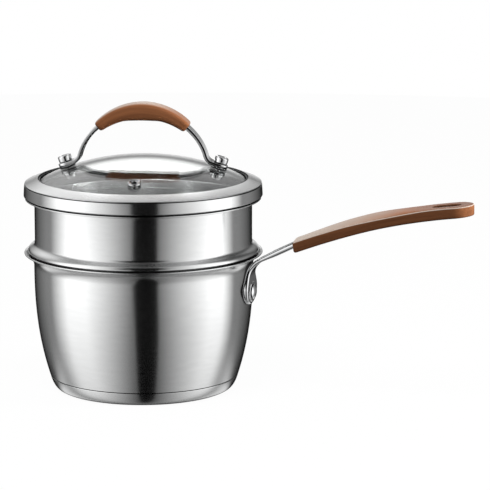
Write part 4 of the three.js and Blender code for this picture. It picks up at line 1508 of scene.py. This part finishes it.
    def grip(self) -> tuple[list[Shell], Array, Array]:
        """Both halves of the grip, the wall of its slot and its front face.

        A point's reach runs from the middle line, or the slot's rim, to the side. Its height is the crease's
        plus a crown that falls with the square of that reach, and the belly below is made the same way.
        Towards the slot the crown turns into a dish, and the shoulders round down to a lower crease by a
        high power of the reach. Round the far end the rows swing about the slot's far centre, so the end
        is half-round. The front face is upright, not square to the line.
        A painted highlight runs along the crease, a painted sheen pales the top near the pan, and painted
        shade darkens the top towards the tip and the slot.

        Returns:
            The patches, their points' places along and across the grip, and the painted light or shade of
            each.
        """
        far = self.rail.length - self.half
        near = far - self.slot_run
        rim = self.slot + self.slot_round
        bow = np.linspace(np.pi, np.pi / 2, 20)
        nose = self.front_round * (1 - np.cos(np.linspace(0, np.pi / 2, 12)))
        front = np.concatenate([nose, np.linspace(self.front_round, near - rim - self.slot_lead, 120)[1:]])
        straight = np.linspace(near, far, 16)[1:]
        swing = np.linspace(0, np.pi / 2, 30)[1:]
        base = np.concatenate([front, near + rim * np.cos(bow), straight, np.full(len(swing), far)])[:, None]
        turn = np.concatenate([np.zeros(len(base) - len(swing)), swing])[:, None]
        hole = np.where(base >= near, rim, np.sqrt(np.maximum(0, rim**2 - (base - near) ** 2)))
        hole[base < near - rim] = 0
        half = self.grip_half(base) - self.front_inset(base, self.front_edge)
        keel = half - self.side_lean * np.cos(turn)
        lip = np.linspace(0, np.pi / 2, LIP)
        sheet = np.linspace(0, 1, 22)
        edge, foot = self.crease_round, self.belly_round
        top = hole + (half - edge - hole) * sheet
        low = hole + (keel - foot - hole) * sheet[::-1]
        reach = np.hstack([top, half - edge + edge * np.sin(lip), keel - foot + foot * np.cos(lip), low])
        rise = self.end_lift * ease(base, self.lift_from, near)
        sink = self.sink * ease(base, self.sink_from, self.sink_to)
        crease, floor = self.crease + rise - sink, self.crease - self.side - self.belly_lift * rise
        swell = self.front_crown + (self.crown - self.front_crown) * ease(base, 0, self.crown_to)
        swell = swell - (self.crown + self.dish) * ease(base, self.dish_from, near + rim)
        shoulder = sink * (1 - (top / half) ** self.shoulder)
        brim = swell * self.crown_share(half - edge, half) + shoulder[:, -1:]
        hull = self.belly * self.crown_share(keel - foot, half)
        out = np.hstack(
            [
                crease + swell * self.crown_share(top, half) + shoulder,
                crease + brim - edge + edge * np.cos(lip),
                floor - hull + foot - foot * np.sin(lip),
                floor - self.belly * self.crown_share(low, half),
            ]
        )
        raised, lowered = self.front_inset(base, self.front_round), self.front_inset(base, self.front_edge)
        out = np.where(out < (crease + floor) / 2, out + raised, out - lowered)
        upright = self.pull_rise / self.pull_reach * (1 - ease(base, 0, self.upright_to))
        at, side = base + reach * np.sin(turn) + out * upright, reach * np.cos(turn)
        painted_light = np.zeros_like(reach)
        # Painted sheen pales the top near the pan, and painted shade darkens the top towards the tip.
        painted_light[:, : len(sheet)] = self.painted_sheen * (1 - ease(base, 0, self.painted_sheen_to))
        painted_light[:, : len(sheet)] -= self.tip_shade * ease(base, self.tip_shade_from, self.tip_shade_to)
        # Painted highlight along the rounded crease.
        painted_light[:, len(sheet) : len(sheet) + len(lip)] = self.crease_highlight * np.sin(2 * lip)
        slot_rows = base[:, 0] >= near - rim - TINY
        slot_reach, slot_out = self.slot_wall(out[slot_rows])
        angle = np.concatenate([bow, np.full(len(straight), np.pi / 2), np.pi / 2 - swing])[:, None]
        slot_at = np.clip(base[slot_rows], near, far) + slot_reach * np.cos(angle)
        # Painted shade over the slot's wall, fading in from the top's level round its upper rim.
        slot_shade = np.full_like(slot_out, -1)
        slot_shade[:, : len(lip)] = -np.sqrt(np.linspace(self.tip_shade**2, 1, len(lip)))
        patches = (
            (at, side, out, painted_light),
            (slot_at, slot_reach * np.sin(angle), slot_out, slot_shade),
            [np.stack([row[0], keep * row[0]]) for row, keep in ((at, 1), (side, 0), (out, 1), (painted_light, 0))],
        )
        shells, grains, painted_light_rows = [], [], []
        for sign in (1, -1):
            for along, across, away, painted_light_tone in patches:
                shells.append(Shell.grid(self.rail.place(along, sign * across, away)))
                spots = np.broadcast_arrays(along, sign * across, away)
                grains.append(np.stack(spots, axis=-1).reshape(-1, 3))
                painted_light_rows.append(painted_light_tone.ravel())
        return shells, np.vstack(grains), np.concatenate(painted_light_rows)

    def slot_wall(self, out: Array) -> tuple[Array, Array]:
        """Section of the slot's wall: rounded over from the top face, straight down, rounded under.

        Args:
            out: the grip's outward distances in each row, whose ends are the slot's two rims.

        Returns:
            Distance from the slot's middle line and outward distance, as rows by points.
        """
        lip = np.linspace(0, np.pi / 2, LIP)
        rim, soft = self.slot + self.slot_round, self.slot_round
        high, low = out[:, :1], out[:, -1:]
        reach = np.concatenate([rim - soft * np.sin(lip), rim - soft * np.cos(lip)])
        drop = np.hstack([high - soft + soft * np.cos(lip), low + soft - soft * np.sin(lip)])
        return np.broadcast_to(reach, drop.shape), drop

    def screw_shell(self) -> Shell:
        """The screw under the grip: a flat countersunk-style head and its shank up into the tang."""
        belly = self.crease - self.side - self.belly
        seat = belly + self.screw_shoulder - FIT
        low = seat - self.screw_head_height
        corners = [
            (0, low + self.dimple, 0),
            (self.screw_head * self.dimple_floor, low + self.dimple, 0.2),
            (self.screw_head * self.dimple_rim, low, 0.2),
            (self.screw_head, low, 0.5),
            (self.screw_head, seat, 0.2),
            (self.screw, seat, 0.2),
            (self.screw, self.bar_thickness / 2, 0.3),
            (0, self.bar_thickness / 2, 0),
        ]
        at = self.screw_place * self.rail.length
        place, along = self.rail.place(np.array(at), 0, 0), self.rail.read(self.rail.along, np.array(at))
        tilt = Matrix.Rotation(-math.atan2(along[1], along[0]), 4, "Y")
        outline = rounded(corners, closed=False)
        return revolve(outline, closed=False, segments=SMALL_ROUND).placed(Matrix.Translation(place) @ tilt)

    def build(self) -> None:
        """Makes the bracket, rivet, grip and screw."""
        bracket = make_piece("handle_bracket", [self.bracket(), self.boss_shell()], Slot.POLISHED, Body.PAN)
        bracket.visible_glossy = False
        make_piece("handle_rivet", [self.rivet_shell()], Slot.POLISHED, Body.PAN)
        shells, grain, painted_light = self.grip()
        grip = make_piece("handle_grip", shells, Slot.GRIP, Body.PAN, self.smooth, grain, painted_light)
        grip.visible_glossy = False
        make_piece("handle_screw", [self.screw_shell()], Slot.POLISHED, Body.PAN)


# Studio


@dataclass(frozen=True)
class Softbox:
    """A panel round the object, in degrees: azimuth from the camera, half width, two fades, and its level.

    Its low and high are elevations, past which it fades over its rise and its fall. Its lean is how far it
    stands to the right of itself below the horizon.
    """

    azimuth: float
    half: float
    fade_left: float
    fade_right: float
    level: float
    low: float = -88.0
    high: float = 48.0
    rise: float = 5.0
    fall: float = 30.0
    lean: float = 0.0


@dataclass(frozen=True)
class Lamp:
    """A soft square lamp: azimuth from the camera and elevation in degrees, distance, width and power."""

    azimuth: float
    elevation: float
    distance: float
    width: float
    power: float


@dataclass(frozen=True)
class Studio:
    """Floor, surrounding light and camera, at the photograph's viewing angle.

    A span is a pair of azimuths or elevations in degrees between which a level changes evenly.
    """

    azimuth: float = 18.0
    elevation: float = 10.95
    view: float = 10.04
    distance: float = 2062.0
    aim_right: float = 74.9
    aim_height: float = 106.0
    floor_radius: float = 1600.0
    floor_drop: float = 0.2
    floor_tone: float = 0.9
    floor_glow: float = 0.96
    room: float = 0.29
    room_behind: float = 0.01
    behind_span: tuple[float, float] = (122.0, 160.0)
    room_high: float = 0.3
    high_span: tuple[float, float] = (8.0, 40.0)
    ceiling: float = 0.12
    ceiling_span: tuple[float, float] = (55.0, 85.0)
    soft_low: float = 0.02
    soft_high: float = 0.8
    soft_span: tuple[float, float] = (-5.0, 80.0)
    lean_span: tuple[float, float] = (-18.0, -12.0)
    low_spans: tuple[tuple[float, float, float], ...] = ((-18.0, -12.0, 0.8), (-85.0, -18.0, 0.15))
    backdrop: Softbox = Softbox(180.0, 60.0, 30.0, 30.0, 0.6, -4.0, 40.0, 4.0, 30.0)
    flags: tuple[Softbox, ...] = (
        Softbox(3.2, 12.2, 1.8, 1.2, 0.98, -80.0, 62.0, 14.0, 20.0, 2.2),
        Softbox(1.0, 18.0, 20.0, 12.0, 0.92, 14.0, 60.0, 12.0, 20.0),
    )
    boxes: tuple[Softbox, ...] = (
        Softbox(-74.0, 12.0, 27.0, 52.0, 1.36, lean=-2.0),
        Softbox(84.0, 9.0, 57.0, 18.0, 1.36, lean=3.0),
        Softbox(-165.0, 15.0, 33.0, 50.0, 1.03, 28.0, 40.0, 27.0, 36.0),
        Softbox(-178.5, 8.0, 3.0, 2.5, 2.9, 35.0, 38.0, 25.0, 5.0),
        Softbox(180.0, 12.0, 6.0, 6.0, 0.8, -5.0, -1.0, 3.0, 9.0),
        Softbox(180.0, 45.0, 25.0, 25.0, 1.2, -90.0, -30.0, 5.0, 6.0),
    )
    lamps: tuple[Lamp, ...] = (
        Lamp(-20.0, 62.0, 1500.0, 700.0, 10.5),
        Lamp(80.0, 10.0, 1500.0, 600.0, 25.0),
    )

    def heading(self, azimuth: float, elevation: float) -> Vector:
        """Direction from the object at an azimuth and elevation in degrees, with azimuth 0 towards -Y."""
        turn, lift = math.radians(azimuth), math.radians(elevation)
        return Vector((math.sin(turn) * math.cos(lift), -math.cos(turn) * math.cos(lift), math.sin(lift)))

    def aim(self, item: bpy.types.Object, place: Vector, facing: Vector) -> None:
        """Puts a camera or lamp at a place in millimetres, with its back along a direction."""
        item.location = place * MM
        item.rotation_mode = "QUATERNION"
        item.rotation_quaternion = facing.to_track_quat("Z", "Y")

    def build_camera(self) -> None:
        """Puts the camera where the photograph was taken from."""
        data = bpy.data.cameras.new("camera")
        data.angle = math.radians(self.view)
        camera = put("camera", data)
        turn = math.radians(self.azimuth)
        right = Vector((math.cos(turn), math.sin(turn), 0))
        back = self.heading(self.azimuth, self.elevation)
        target = right * self.aim_right + Vector((0, 0, self.aim_height))
        self.aim(camera, target + back * self.distance, back)
        bpy.context.scene.camera = camera

    def build_floor(self) -> None:
        """Lays a round white floor that shows the object's soft shadow."""
        disc = np.array([[0.0, -self.floor_drop], [self.floor_radius, -self.floor_drop]])
        floor = put("floor", raw_mesh("floor", revolve(disc, closed=False, segments=ROUND // 2)))
        floor.visible_diffuse = False
        floor.visible_glossy = False
        floor.visible_transmission = False
        material = bpy.data.materials.new("floor_white")
        material.use_nodes = True
        bench = Bench(material.node_tree)
        material.node_tree.nodes.clear()
        matte = bench.add("ShaderNodeBsdfDiffuse", (*[self.floor_tone] * 3, 1))
        glow = bench.add("ShaderNodeEmission")
        ray = bench.add("ShaderNodeLightPath").outputs["Is Camera Ray"]
        share = bench.times(ray, self.floor_glow)
        blend = bench.add("ShaderNodeMixShader", share, matte.outputs[0], glow.outputs[0])
        bench.add("ShaderNodeOutputMaterial", blend.outputs[0])
        floor.data.materials.append(material)

    def panel(self, bench: Bench, turn: Socket, height: Socket, box: Softbox) -> Socket:
        """A panel's level at an azimuth and elevation: full inside its edges, fading out past all four.

        Args:
            bench: bench on the world's tree.
            turn: azimuth from the camera, in degrees.
            height: elevation, in degrees.
            box: the panel.

        Returns:
            The level.
        """
        middle = bench.span(height, *self.lean_span, box.azimuth + box.lean, box.azimuth)
        off = bench.math("WRAP", bench.math("SUBTRACT", turn, middle), 180.0, -180.0)
        left = bench.span(off, -box.half - box.fade_left, -box.half, 0.0, box.level)
        right = bench.span(off, box.half, box.half + box.fade_right, 1.0, 0.0)
        below = bench.span(height, box.low - box.rise, box.low, 0.0, 1.0)
        above = bench.span(height, box.high, box.high + box.fall, 1.0, 0.0)
        return bench.times(bench.times(left, right), bench.times(below, above))

    def surroundings(self, bench: Bench, turn: Socket, height: Socket) -> Socket:
        """What a shiny surface mirrors: a grey room, panels, black flags by the camera and a ceiling.

        Args:
            bench: bench on the world's tree.
            turn: azimuth from the camera, in degrees.
            height: elevation, in degrees.

        Returns:
            The level.
        """
        level = bench.span(bench.math("ABSOLUTE", turn), *self.behind_span, self.room, self.room_behind)
        level = bench.times(level, bench.span(height, *self.high_span, 1.0, self.room_high))
        for box in self.boxes:
            level = bench.plus(level, self.panel(bench, turn, height, box))
        for low, high, share in self.low_spans:
            level = bench.times(level, bench.span(height, low, high, share, 1.0))
        for flag in self.flags:
            level = bench.times(level, bench.math("SUBTRACT", 1.0, self.panel(bench, turn, height, flag)))
        return bench.plus(level, bench.span(height, *self.ceiling_span, 0.0, self.ceiling))

    def build_light(self) -> None:
        """Surrounds the object with panels for shiny surfaces and soft light for the rest, and adds lamps."""
        world = bpy.data.worlds.new("studio")
        bpy.context.scene.world = world
        world.use_nodes = True
        bench = Bench(world.node_tree)
        split = bench.add("ShaderNodeSeparateXYZ", bench.add("ShaderNodeTexCoord").outputs["Generated"])
        compass = bench.math("ARCTAN2", split.outputs["Y"], split.outputs["X"])
        turn = bench.math("SUBTRACT", bench.math("DEGREES", compass), self.azimuth - 90.0)
        turn = bench.math("WRAP", turn, 180.0, -180.0)
        height = bench.math("DEGREES", bench.math("ARCSINE", split.outputs["Z"]))
        soft = bench.span(height, *self.soft_span, self.soft_low, self.soft_high)
        soft = bench.math("MAXIMUM", soft, self.panel(bench, turn, height, self.backdrop))
        path = bench.add("ShaderNodeLightPath").outputs
        bounced = bench.math("GREATER_THAN", path["Glossy Depth"], 0.5)
        seen = bench.math("MAXIMUM", path["Is Glossy Ray"], bounced)
        shown = bench.mix(seen, soft, self.surroundings(bench, turn, height))
        through = bench.times(path["Is Transmission Ray"], bench.math("SUBTRACT", 1.0, bounced))
        plain = bench.math("MAXIMUM", path["Is Camera Ray"], through)
        bench.fill(world.node_tree.nodes["Background"], Color=bench.mix(plain, shown, (1, 1, 1, 1)))
        for number, lamp in enumerate(self.lamps):
            data = bpy.data.lights.new(f"lamp_{number}", "AREA")
            data.size = lamp.width * MM
            data.energy = lamp.power
            item = put(f"lamp_{number}", data)
            out = self.heading(self.azimuth + lamp.azimuth, lamp.elevation)
            self.aim(item, out * lamp.distance, out)
            item.visible_glossy = False

    def build(self) -> None:
        """Makes the camera, the floor and the light."""
        self.build_camera()
        self.build_floor()
        self.build_light()


def main() -> None:
    """Builds the finishes, the sub-assemblies and the studio in order."""
    logging.basicConfig(level=logging.INFO, format="%(message)s")
    bpy.context.scene.view_settings.view_transform = "Standard"
    ring_brush_group()
    smudge_group()
    crevice_group()
    for finish in FINISHES:
        finish.build()
    pan = PanShell()
    steamer = SteamerInsert(pan)
    ring = LidRing(steamer)
    vent = SteamVent(ring)
    studs = StudStack(ring)
    pan.build()
    LongHandle(pan).build()
    steamer.build()
    ring.build([vent.tool(), *studs.tools()])
    vent.build()
    studs.build()
    LidHandle(ring, studs).build()
    Studio().build()


if __name__ == "__main__":
    main()
